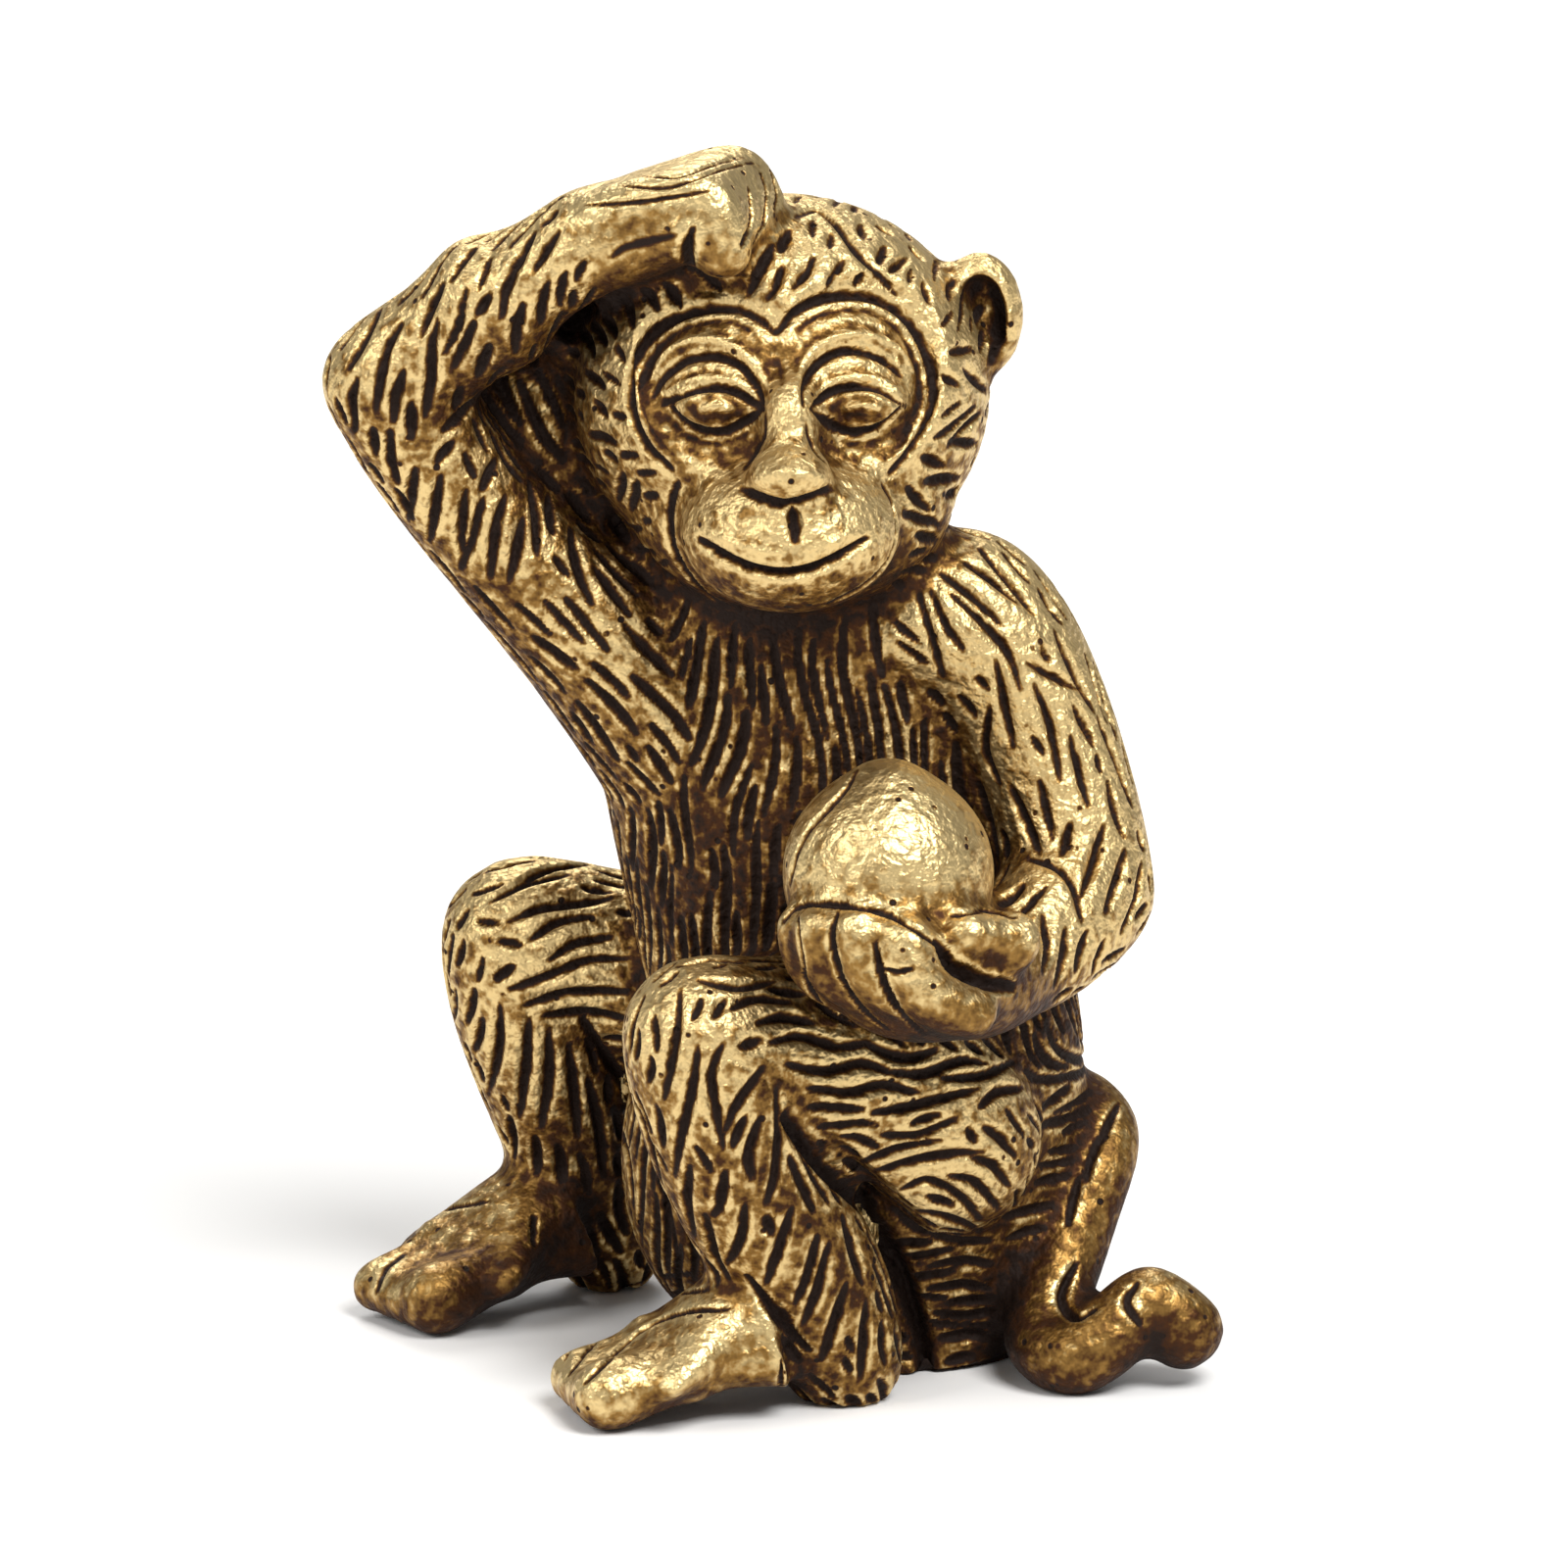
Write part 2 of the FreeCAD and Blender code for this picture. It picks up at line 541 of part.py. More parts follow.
def holding_hand():
    """The cupped palm with the four fingers and the thumb round the peach."""
    radius = size("peach_radius")
    low = place("peach") + Vector(*PALM_DROP_SHARES) * radius
    palm = egg("palm", low, *[share_of("peach_radius", share) for share in PALM_SIZE_SHARES])
    digits = []
    for name, path in FINGER_SHARES.items():
        thick_share = LITTLE_FINGER_RADIUS_SHARE if name == "little" else FINGER_RADIUS_SHARE
        points = [place("peach") + Vector(*shares) * (radius * (1 + thick_share)) for shares in path]
        across = UP if name == "thumb" else THROUGH_FIGURE
        radii = [("peach_radius", thick_share)] * len(points)
        digits.append(rod(name, points, radii, across, first=False))
    wrist_to_palm = rod(
        "heel_of_hand", [place("wrist_left"), low + ACROSS_FIGURE * (PALM_DROP_SHARES[0] * radius)],
        [("wrist_left_radius", 1), ("peach_radius", PALM_SIZE_SHARES[-1])], UP,
    )
    return fuse("holding_hand", palm, wrist_to_palm, *digits)


def leg(side, trunk, floor):
    """Thigh, shin with the heel, and foot of one leg."""
    names = [f"{joint}_{side}" for joint in ("hip", "thigh", "knee", "calf", "ankle", "heel")]
    hip, thigh, knee, calf, ankle, heel = names
    thigh_form = limb("thigh_form", [hip, thigh, knee], UP)
    shin_form = limb("shin_form", [knee, calf, ankle, heel], ACROSS_FIGURE)
    bend, onwards = mitre(thigh, knee, calf)
    root_reach, root_height = SOLE_SHARES[0][:2]
    plane = foot_point(side, root_reach + FOOT_PARTING_SHARE, 0, root_height)
    ahead = foot_way(side, ACROSS_FIGURE)
    backwards = -Rotation(UP.cross(ahead), FOOT_PARTING_TILT).multVec(ahead)
    foot_part = cut(f"{side}_foot", foot_form(side), beyond(plane, backwards), trunk, floor)
    thigh_part = cut(f"{side}_thigh", thigh_form, beyond(bend, onwards), trunk)
    shin_part = cut(f"{side}_shin", shin_form, beyond(bend, -onwards), foot_part, trunk, floor)
    return thigh_part, shin_part, foot_part


def foot_way(side, way):
    """A way across or along the foot, turned as the foot is."""
    return Rotation(UP, FOOT_TURNS[side]).multVec(way)


def foot_point(side, reach_share, aside_share, height_share):
    """A point of a foot, from the spot on the floor under its ankle."""
    under = place(f"ankle_{side}")
    under.z = 0
    return under + foot_way(side, Vector(
        reach_share * size("foot_long"), aside_share * size("foot_high"), height_share * size("foot_high")
    ))


def foot_form(side):
    """A foot with its three small toes behind the great toe."""
    side_way = foot_way(side, THROUGH_FIGURE)
    sole = rod(
        "sole",
        [foot_point(side, reach, 0, height) for reach, height, *rest in SOLE_SHARES],
        [("foot_high", shares[2]) for shares in SOLE_SHARES],
        side_way,
        [share_of("foot_high", shares[3]) for shares in SOLE_SHARES],
    )
    toes = []
    for aside, stations in zip(TOE_ASIDE_SHARES, [GREAT_TOE_SHARES] + [TOE_SHARES] * 3):
        points = [foot_point(side, reach, aside, height) for reach, height, radius in stations]
        toes.append(rod("toe", points, [("foot_high", shares[2]) for shares in stations], side_way))
    return fuse("foot_form", sole, *toes)


def tail_body(trunk, floor):
    """The tail, from the rump round the hip and up again to its rounded tip."""
    radii = [("tail_radius", 1)] * (len(TAIL) - 1) + [("tail_tip_radius", 1)]
    points = [place(station) for station in TAIL]
    return cut("tail", rod("tail_form", points, radii, UP, first=False), trunk, floor)


def write_parts(nodes):
    """Check every object, set the origin, then write each node's solid to its own file."""
    DOC.recompute()
    bad = [item.Name for item in DOC.Objects if {"Invalid", "Error"} & set(item.State)]
    if bad:
        raise RuntimeError(f"these objects did not build: {bad}")
    box = FreeCAD.BoundBox()
    for name, node in nodes.items():
        node.Label = name
        if node.Shape.isNull() or not node.Shape.isValid() or len(node.Shape.Solids) != 1:
            raise RuntimeError(f"{name} is not one valid solid")
        box.add(node.Shape.optimalBoundingBox(False, False))
    to_origin = Vector(-box.Center.x, -box.Center.y, -box.ZMin)
    os.makedirs("parts", exist_ok=True)
    for name, node in nodes.items():
        node.Placement = Placement(to_origin, Rotation()).multiply(node.Placement)
        node.Shape.exportStep(f"parts/{name}.step")
        print(f"{name}: {len(node.Shape.Solids)} solid, {node.Shape.Volume:.1f} mm3")
    print(f"box {box.XLength:.2f} x {box.YLength:.2f} x {box.ZLength:.2f}")
    print(f"moved {to_origin.x:.3f} {to_origin.y:.3f} {to_origin.z:.3f}")


def main():
    """Build every cast section of the figure, the carrying ones first."""
    floor = beyond(Vector(), -UP)
    head = head_body()
    torso = torso_body(head, floor)
    nodes = {"head": head, "torso": torso}
    raised = raised_arm(torso, head)
    nodes.update(zip(("right_upper_arm", "right_forearm", "right_hand"), raised))
    nodes["left_ear"] = ear_body("left_ear", 1, head)
    nodes["right_ear"] = ear_body("right_ear", -1, head, nodes["right_forearm"])
    holding = holding_arm(torso, head)
    nodes.update(zip(("left_upper_arm", "left_forearm", "left_hand", "peach"), holding))
    for side in FOOT_TURNS:
        pieces = leg(side, torso, floor)
        nodes.update(zip((f"{side}_thigh", f"{side}_shin", f"{side}_foot"), pieces))
    nodes["tail"] = tail_body(torso, floor)
    write_parts(nodes)


main()
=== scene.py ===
"""Looks of the seated monkey figurine: a brass casting with chased fur and a rubbed dark patina.

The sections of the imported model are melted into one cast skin, as the wax model was. The maker's
tool marks are cut into that skin: the features of the face, the lines of hands and feet, and the
strokes of the fur. The skin is then parted again, one closed piece for each section.
"""

from __future__ import annotations

import logging
import math
import random
from dataclasses import dataclass
from enum import Enum

import bmesh
import bpy
import numpy as np
from mathutils import Matrix, Vector
from mathutils.bvhtree import BVHTree
from mathutils.kdtree import KDTree


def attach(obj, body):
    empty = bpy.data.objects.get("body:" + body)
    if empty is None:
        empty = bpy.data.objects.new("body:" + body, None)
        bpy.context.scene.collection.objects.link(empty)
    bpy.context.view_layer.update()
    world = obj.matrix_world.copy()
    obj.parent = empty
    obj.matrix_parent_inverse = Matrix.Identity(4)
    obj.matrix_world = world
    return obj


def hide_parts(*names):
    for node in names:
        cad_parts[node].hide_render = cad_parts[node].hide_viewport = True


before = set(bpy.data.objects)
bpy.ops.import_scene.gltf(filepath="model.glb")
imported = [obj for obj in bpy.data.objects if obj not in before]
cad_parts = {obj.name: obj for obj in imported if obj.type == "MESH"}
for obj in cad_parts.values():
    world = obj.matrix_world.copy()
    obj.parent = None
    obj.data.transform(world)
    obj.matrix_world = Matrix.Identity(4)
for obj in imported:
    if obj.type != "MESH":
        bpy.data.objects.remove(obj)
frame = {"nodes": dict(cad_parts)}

LOG = logging.getLogger("monkey")
MM = 0.001
TINY = 1e-6

Pixel = tuple[float, float]
Path = tuple[Pixel, ...]
Place = tuple[float, float, float]


class Slot(Enum):
    """The record's material slots."""

    CHASED = "chased_brass"
    BURNISHED = "burnished_brass"


class Section(Enum):
    """How the edge of a cut fades from its middle line to its rim."""

    CHISEL = 1.1
    GOUGE = 2.0


@dataclass(frozen=True)
class PhotoCamera:
    """The camera of the photograph, in the row frame.

    The picture is square and shows a field of field_mm at the figure.
    """

    picture: float = 1600.0
    field_mm: float = 50.0
    elevation: float = math.radians(15.0)
    distance_mm: float = 1000.0
    aside_mm: float = 0.3175
    up_mm: float = 18.586
    sensor_mm: float = 36.0
    sight_m: float = 100.0

    def right(self) -> Vector:
        """The picture's way to the right."""
        return Vector((1, 0, 0))

    def up(self) -> Vector:
        """The picture's way up."""
        return Vector((0, math.sin(self.elevation), math.cos(self.elevation)))

    def ahead(self) -> Vector:
        """The way the camera looks."""
        return Vector((0, math.cos(self.elevation), -math.sin(self.elevation)))

    def position(self) -> Vector:
        """Where the camera stands, in metres."""
        centre = self.right() * self.aside_mm + self.up() * self.up_mm
        return (centre - self.ahead() * self.distance_mm) * MM

    def ray(self, pixel: Pixel) -> tuple[Vector, Vector]:
        """The ray through a pixel of the photograph.

        Args:
            pixel: column and row in the 1600 pixel frame.

        Returns:
            Where the ray starts, in metres, and its way.
        """
        scale = self.field_mm / self.picture
        across = self.aside_mm + (pixel[0] - self.picture / 2) * scale
        rise = self.up_mm + (self.picture / 2 - pixel[1]) * scale
        spot = (self.right() * across + self.up() * rise) * MM
        start = self.position()
        return start, (spot - start).normalized()

    def pixel(self, point: Vector) -> Pixel:
        """The pixel at which a point in metres shows."""
        offset = point - self.position()
        share = self.distance_mm * MM / offset.dot(self.ahead())
        scale = self.picture / (self.field_mm * MM)
        return (
            self.picture / 2 + offset.dot(self.right()) * share * scale,
            self.picture / 2 - offset.dot(self.up()) * share * scale,
        )

    def build(self) -> None:
        """Stand the camera in the scene."""
        data = bpy.data.cameras.new("photo_camera")
        data.sensor_width = self.sensor_mm
        data.lens = self.sensor_mm * self.distance_mm / self.field_mm
        data.clip_end = self.sight_m
        camera = bpy.data.objects.new("photo_camera", data)
        turn = Matrix((self.right(), self.up(), -self.ahead())).transposed()
        camera.matrix_world = Matrix.Translation(self.position()) @ turn.to_4x4()
        bpy.context.scene.collection.objects.link(camera)
        bpy.context.scene.camera = camera


PHOTO = PhotoCamera()


@dataclass(frozen=True)
class Mark:
    """One tool mark that the photograph shows, drawn through its pixels.

    Widths and depths are in millimetres; a negative depth raises a ridge.
    """

    path: Path
    half_width: float = 0.2
    depth: float = 0.2
    taper: float = 0.5
    section: Section = Section.CHISEL
    stain: float = 1.0


@dataclass(frozen=True)
class Fur:
    """How the fur of one section lies, in millimetres and degrees.

    Args:
        line: the way the strokes run, as points in the row frame.
        spacing: distance between neighbouring strokes.
        length: shortest and longest stroke.
        half_width: half the width of a stroke at its middle.
        depth: depth of a stroke at its middle.
        sway: how far the strokes wander from their way.
        slant: how far they all lean from their way.
        fan: the point that the strokes run away from, where no line is given.
    """

    line: tuple[Place, ...] = ()
    spacing: float = 0.62
    length: tuple[float, float] = (1.4, 3.4)
    half_width: float = 0.26
    depth: float = 0.27
    sway: float = 16.0
    slant: float = 0.0
    fan: Place = (0.0, 0.0, 0.0)


class CastSkin:
    """The melted skin of the casting, as arrays that the tool marks are cut into."""

    # melting: the skin's cells, and how far sections swell and the skin sinks again
    WELD_MM = 1e-4
    VOXEL_MM = 0.23
    QUICK_VOXEL_MM = 0.32
    SWELL_MM = 0.2
    SINK_SHARE = 1.1
    DIP_MM = 0.12
    SMALLEST_SHELL_MM3 = 1.0
    SMOOTHING_ROUNDS = 7
    # marks: how near a surface has to face the tool, and how fast the patina fades from a cut
    LEAST_FACING = 0.1
    PIXEL_STEP = 2.0
    END_WIDTH = 0.45
    STAIN_FADE = 1.15
    # hollows: rounds of smoothing that fill narrow and wide ones, and the depths that count as full
    HOLLOW_ROUNDS = (6, 40)
    HOLLOW_SPANS_MM = (0.035, 0.22)
    # painted shade: rays from every so many vertices, and how far they look for cover
    PROBE_SEED = 7
    PROBE_STEP = 20
    PROBE_RAYS = 28
    PROBE_BEND = 0.98
    PROBE_LIFT_MM = 0.15
    PROBE_REACH_MM = 12.0
    LOWEST_WAY = -0.15
    SPREAD_ROUNDS = 40
    # how much darker or lighter each section is coloured: partly its own tone, partly painted light and
    # shade, lighter on the lit near arm and far knee, darker on the tail, far foot and holding hand that lie
    # in shade
    TONE_AND_PAINTED_LIGHT = {
        "torso": 0.34, "tail": 0.32, "right_foot": 0.3, "left_hand": 0.2, "left_shin": 0.12,
        "right_upper_arm": 0.08, "right_forearm": 0.07, "left_foot": 0.07, "left_upper_arm": -0.22,
        "left_forearm": -0.1, "right_thigh": -0.12, "head": -0.05,
    }
    # parting: the largest section makes two pieces, and caps close what parting opens
    HALVED = "torso"
    HALF_PLANE_MM = 0.5
    ISLAND_ROUNDS = 40
    CAP_RINGS_MM = (0.25, 0.6, 1.1, 1.8, 2.7, 3.9, 5.4, 7.2)
    CAP_REACH = 0.8
    LONE_RING = 0.5
    CAP_RELAX_ROUNDS = 6
    CAP_DEPTH_MM = 0.45

    def __init__(self, nodes: dict[str, bpy.types.Object]) -> None:
        """Melt the sections into one skin.

        Args:
            nodes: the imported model's sections by name.
        """
        self.names = sorted(nodes)
        self.solids, self.owners = self.solid_tree(nodes)
        self.obj = self.melt(nodes)
        mesh = self.obj.data
        count = len(mesh.vertices)
        self.points = self.read(mesh.vertices, "co", 3)
        self.normals = self.read(mesh.vertices, "normal", 3)
        self.edges = self.read(mesh.edges, "vertices", 2, np.int32)
        self.degrees = np.bincount(self.edges.ravel(), minlength=count).astype(np.float32)
        self.labels = np.array([self.owners[self.solids.find_nearest(point)[2]] for point in self.points])
        self.cut = np.zeros(count, np.float32)
        self.raised = np.zeros(count, np.float32)
        self.stain = np.zeros(count, np.float32)
        self.surface = self.search_tree(mesh)
        self.vertex_tree = KDTree(count)
        for index, point in enumerate(self.points):
            self.vertex_tree.insert(point, index)
        self.vertex_tree.balance()
        LOG.info("cast skin: %d vertices", count)

    @staticmethod
    def read(
        items: bpy.types.bpy_prop_collection, name: str, width: int, kind: type = np.float32
    ) -> np.ndarray:
        """Read one property of every item.

        Args:
            items: vertices, edges or values.
            name: the property.
            width: how many numbers it has.
            kind: the type of the numbers.

        Returns:
            One row for each item.
        """
        values = np.empty(len(items) * width, kind)
        items.foreach_get(name, values)
        return values.reshape(-1, width)

    @staticmethod
    def search_tree(mesh: bpy.types.Mesh) -> BVHTree:
        """A tree that finds the nearest place on a mesh."""
        work = bmesh.new()
        work.from_mesh(mesh)
        tree = BVHTree.FromBMesh(work)
        work.free()
        return tree

    def melt(self, nodes: dict[str, bpy.types.Object]) -> bpy.types.Object:
        """One closed skin over all sections, with the joints between them run together.

        The sections are swollen a little so that they overlap, and the skin sinks back onto them. It
        stays where it spans a gap, since the nearest section lies beside it there, not below.

        Args:
            nodes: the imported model's sections by name.

        Returns:
            The object that holds the skin.
        """
        work = bmesh.new()
        for name in self.names:
            section = bmesh.new()
            section.from_mesh(nodes[name].data)
            bmesh.ops.remove_doubles(section, verts=section.verts, dist=self.WELD_MM * MM)
            section.normal_update()
            for vert in section.verts:
                vert.co += vert.normal * (self.SWELL_MM * MM)
            swollen = bpy.data.meshes.new("swollen")
            section.to_mesh(swollen)
            section.free()
            work.from_mesh(swollen)
            bpy.data.meshes.remove(swollen)
        raw = bpy.data.meshes.new("raw_skin")
        work.to_mesh(raw)
        work.free()
        holder = bpy.data.objects.new("raw_skin", raw)
        bpy.context.scene.collection.objects.link(holder)
        remesh = holder.modifiers.new("melt", "REMESH")
        remesh.mode = "VOXEL"
        remesh.voxel_size = self.VOXEL_MM * MM
        graph = bpy.context.evaluated_depsgraph_get()
        holder.data = bpy.data.meshes.new_from_object(holder.evaluated_get(graph))
        holder.modifiers.clear()
        bpy.data.meshes.remove(raw)
        self.fill_hollows(holder.data)
        self.sink(holder.data)
        smooth = holder.modifiers.new("fillet", "SMOOTH")
        smooth.iterations = self.SMOOTHING_ROUNDS
        finer = holder.modifiers.new("finer", "SUBSURF")
        finer.levels = finer.render_levels = 1
        graph = bpy.context.evaluated_depsgraph_get()
        skin = bpy.data.meshes.new_from_object(holder.evaluated_get(graph))
        bpy.data.objects.remove(holder)
        obj = bpy.data.objects.new("cast_skin", skin)
        bpy.context.scene.collection.objects.link(obj)
        return obj

    def sink(self, mesh: bpy.types.Mesh) -> None:
        """Let a skin sink along its normals onto the sections below it.

        Args:
            mesh: the skin.
        """
        work = bmesh.new()
        work.from_mesh(mesh)
        work.normal_update()
        drops = {}
        for vert in work.verts:
            drop = (vert.co - self.solids.find_nearest(vert.co)[0]).dot(vert.normal)
            drops[vert] = min(max(drop, -self.DIP_MM * MM), self.SWELL_MM * self.SINK_SHARE * MM)
        for vert, drop in drops.items():
            vert.co -= vert.normal * drop
        work.to_mesh(mesh)
        work.free()

    def fill_hollows(self, mesh: bpy.types.Mesh) -> None:
        """Take away the walls of hollows shut inside the figure, which face inwards.

        Args:
            mesh: the skin.
        """
        work = bmesh.new()
        work.from_mesh(mesh)
        left = set(work.verts)
        while left:
            shell, edge_of_shell = set(), [left.pop()]
            while edge_of_shell:
                vert = edge_of_shell.pop()
                shell.add(vert)
                fresh = {edge.other_vert(vert) for edge in vert.link_edges} & left
                left -= fresh
                edge_of_shell += fresh
            faces = {face for vert in shell for face in vert.link_faces}
            volume = sum(face.calc_center_median().dot(face.normal) * face.calc_area() for face in faces) / 3
            if volume < self.SMALLEST_SHELL_MM3 * MM ** 3:
                bmesh.ops.delete(work, geom=list(shell), context="VERTS")
        work.to_mesh(mesh)
        work.free()

    def solid_tree(self, nodes: dict[str, bpy.types.Object]) -> tuple[BVHTree, list[int]]:
        """Gather the sections as they are packed.

        Args:
            nodes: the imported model's sections by name.

        Returns:
            A tree over all their faces, and the label of each face's section.
        """
        work = bmesh.new()
        owners: list[int] = []
        for index, name in enumerate(self.names):
            work.from_mesh(nodes[name].data)
            owners += [index] * (len(work.faces) - len(owners))
        tree = BVHTree.FromBMesh(work)
        work.free()
        return tree, owners

    def owner(self, point: Vector) -> int:
        """The label of the vertex nearest to a point."""
        return int(self.labels[self.vertex_tree.find(point)[1]])

    def press(
        self, samples: list[tuple[Vector, Vector, float, float]], section: Section, stain: float
    ) -> None:
        """Press a row of samples of a mark into the skin.

        Args:
            samples: place, surface normal, half width and depth of each, in metres.
            section: how the cut fades towards its rim.
            stain: how much of the patina stays in the mark, from 0 to 1.
        """
        for place, normal, half_width, depth in samples:
            found = self.vertex_tree.find_range(place, half_width)
            if not found:
                continue
            indices = np.fromiter((item[1] for item in found), np.int64, len(found))
            away = np.fromiter((item[2] for item in found), np.float32, len(found)) / half_width
            away = np.minimum(away, 1)
            facing = self.normals[indices] @ np.array(normal, np.float32)
            indices, away = indices[facing > self.LEAST_FACING], away[facing > self.LEAST_FACING]
            amount = abs(depth) * (1 - away) ** section.value
            target = self.cut if depth > 0 else self.raised
            target[indices] = np.maximum(target[indices], amount)
            if stain:
                fade = (1 - away) ** self.STAIN_FADE if section is Section.CHISEL else 1 - away ** 2
                self.stain[indices] = np.maximum(self.stain[indices], stain * fade)

    def draw(self, mark: Mark) -> list[Vector]:
        """Cut one mark of the photograph where its pixels fall on the skin.

        Args:
            mark: the mark.

        Returns:
            The places that it runs through.
        """
        dense = densify(mark.path, self.PIXEL_STEP)
        samples = []
        for index, pixel in enumerate(dense):
            place, normal, _, _ = self.surface.ray_cast(*PHOTO.ray(pixel))
            if place is None:
                continue
            share = (index + 0.5) / len(dense)
            strength = math.sin(math.pi * share) ** mark.taper
            width = self.END_WIDTH + (1 - self.END_WIDTH) * strength
            samples.append((place, normal, mark.half_width * MM * width, mark.depth * MM * strength))
        self.press(samples, mark.section, mark.stain if mark.depth > 0 else 0.0)
        return [sample[0] for sample in samples]

    def settle(self) -> None:
        """Move the skin by its marks, note its grooves and hollows for the patina, and note the painted shade
        of covered and downward-facing skin and each section's tone with painted light and shade.
        """
        moved = self.points + self.normals * (self.raised - self.cut)[:, None]
        self.obj.data.vertices.foreach_set("co", moved.astype(np.float32).ravel())
        self.write("groove", self.stain)
        smooth = moved.copy()
        done = 0
        depths = []
        for rounds, span in zip(self.HOLLOW_ROUNDS, self.HOLLOW_SPANS_MM):
            for _ in range(rounds - done):
                smooth = self.relax(smooth)
            done = rounds
            depth = np.einsum("ij,ij->i", smooth - moved, self.normals)
            depths.append(np.clip(depth / (span * MM), -1, 1))
        self.write("pocket", depths[0])
        self.write("hollow", depths[1])
        # painted shade: darker where other parts cover the skin and where it faces down
        self.write("shelter", self.shelter())
        # each section's own tone with its painted light and shade, spread softly across the joints
        kept = np.array([self.TONE_AND_PAINTED_LIGHT.get(name, 0.0) for name in self.names], np.float32)[self.labels]
        for _ in range(self.SPREAD_ROUNDS * 2):
            kept = self.relax(kept[:, None])[:, 0]
        self.write("patina", kept)
        way = self.obj.data.attributes.new("skin_way", "FLOAT_VECTOR", "POINT")
        way.data.foreach_set("vector", self.read(self.obj.data.vertices, "normal", 3).ravel())

    def shelter(self) -> np.ndarray:
        """How much of the open air each vertex is kept from, from 0 to 1, as painted shade.

        Ways that lead down count as cover, so that skin which faces down is painted darker, as if in shade.

        Returns:
            One number for each vertex.
        """
        draw = random.Random(self.PROBE_SEED)
        ways = []
        while len(ways) < self.PROBE_RAYS:
            way = Vector([draw.uniform(-1, 1) for _ in range(3)])
            if 0.1 < way.length < 1:
                ways.append(way.normalized() * self.PROBE_BEND)
        found = np.zeros((len(self.points), 2), np.float32)
        reach = self.PROBE_REACH_MM * MM
        for index in range(0, len(self.points), self.PROBE_STEP):
            normal = Vector(self.normals[index])
            start = Vector(self.points[index]) + normal * (self.PROBE_LIFT_MM * MM)
            covered = 0
            for way in ways:
                ray = (normal + way).normalized()
                covered += ray.z < self.LOWEST_WAY or self.surface.ray_cast(start, ray, reach)[0] is not None
            found[index] = covered / len(ways), 1
        for _ in range(self.SPREAD_ROUNDS):
            found = self.relax(found)
        return found[:, 0] / np.maximum(found[:, 1], TINY)

    def relax(self, points: np.ndarray) -> np.ndarray:
        """Even out values over the skin.

        Args:
            points: one row for each vertex.

        Returns:
            Every row moved halfway to the middle of its neighbours.
        """
        total = np.zeros_like(points)
        first, second = self.edges.T
        for axis in range(points.shape[1]):
            total[:, axis] = np.bincount(first, points[second, axis], len(points))
            total[:, axis] += np.bincount(second, points[first, axis], len(points))
        return 0.5 * points + 0.5 * total / self.degrees[:, None]

    def write(self, name: str, values: np.ndarray) -> None:
        """Keep one number for each vertex with the mesh, for the material to read."""
        attribute = self.obj.data.attributes.new(name, "FLOAT", "POINT")
        attribute.data.foreach_set("value", values.astype(np.float32))

    def part(self) -> list[tuple[str, bpy.types.Object]]:
        """Part the skin into closed pieces, one for each section and two for the largest.

        Returns:
            The name of each piece's section, and the piece.
        """
        mesh = self.obj.data
        work = bmesh.new()
        work.from_mesh(mesh)
        work.faces.ensure_lookup_table()
        halved = self.names.index(self.HALVED)
        for face, label in zip(work.faces, self.face_labels(work)):
            back = label == halved and face.calc_center_median().y > self.HALF_PLANE_MM * MM
            face.material_index = len(self.names) if back else int(label)
        seams = [
            edge for edge in work.edges
            if len({face.material_index for face in edge.link_faces}) > 1
        ]
        bmesh.ops.split_edges(work, edges=seams)
        work.to_mesh(mesh)
        work.free()
        for name in (*self.names, f"{self.HALVED}_back"):
            mesh.materials.append(bpy.data.materials.new(name))
        bpy.ops.object.select_all(action="DESELECT")
        self.obj.select_set(True)
        bpy.context.view_layer.objects.active = self.obj
        bpy.ops.object.mode_set(mode="EDIT")
        bpy.ops.mesh.separate(type="MATERIAL")
        bpy.ops.object.mode_set(mode="OBJECT")
        pieces = []
        for obj in list(bpy.context.selected_objects):
            marker = obj.data.materials[obj.data.polygons[0].material_index]
            name = marker.name
            obj.data.materials.clear()
            bpy.data.materials.remove(marker)
            obj.name = obj.data.name = f"{name}_cast"
            self.close(obj.data)
            pieces.append((name.removesuffix("_back"), obj))
            LOG.info("parted %s: %d faces", name, len(obj.data.polygons))
        return sorted(pieces, key=lambda pair: pair[1].name)

    def face_labels(self, work: bmesh.types.BMesh) -> np.ndarray:
        """One label for each face, with stray islands given to the section around them.

        Args:
            work: the skin.

        Returns:
            The label of each face.
        """
        corners = np.array([[vert.index for vert in face.verts][:3] for face in work.faces])
        three = self.labels[corners]
        labels = np.where(three[:, 1] == three[:, 2], three[:, 1], three[:, 0])
        joined = (edge.link_faces for edge in work.edges if edge.is_manifold)
        pairs = np.array([[face.index for face in faces] for faces in joined])
        for _ in range(self.ISLAND_ROUNDS):
            islands = self.islands(labels, pairs)
            sizes = np.bincount(islands, minlength=len(labels))
            largest = {}
            for root in np.unique(islands):
                label = labels[root]
                if sizes[root] > sizes[largest.get(label, root)] or label not in largest:
                    largest[label] = root
            keep = np.isin(islands, list(largest.values()))
            if keep.all():
                break
            for a, b in ((0, 1), (1, 0)):
                stray = ~keep[pairs[:, a]] & keep[pairs[:, b]]
                labels[pairs[stray, a]] = labels[pairs[stray, b]]
        return labels

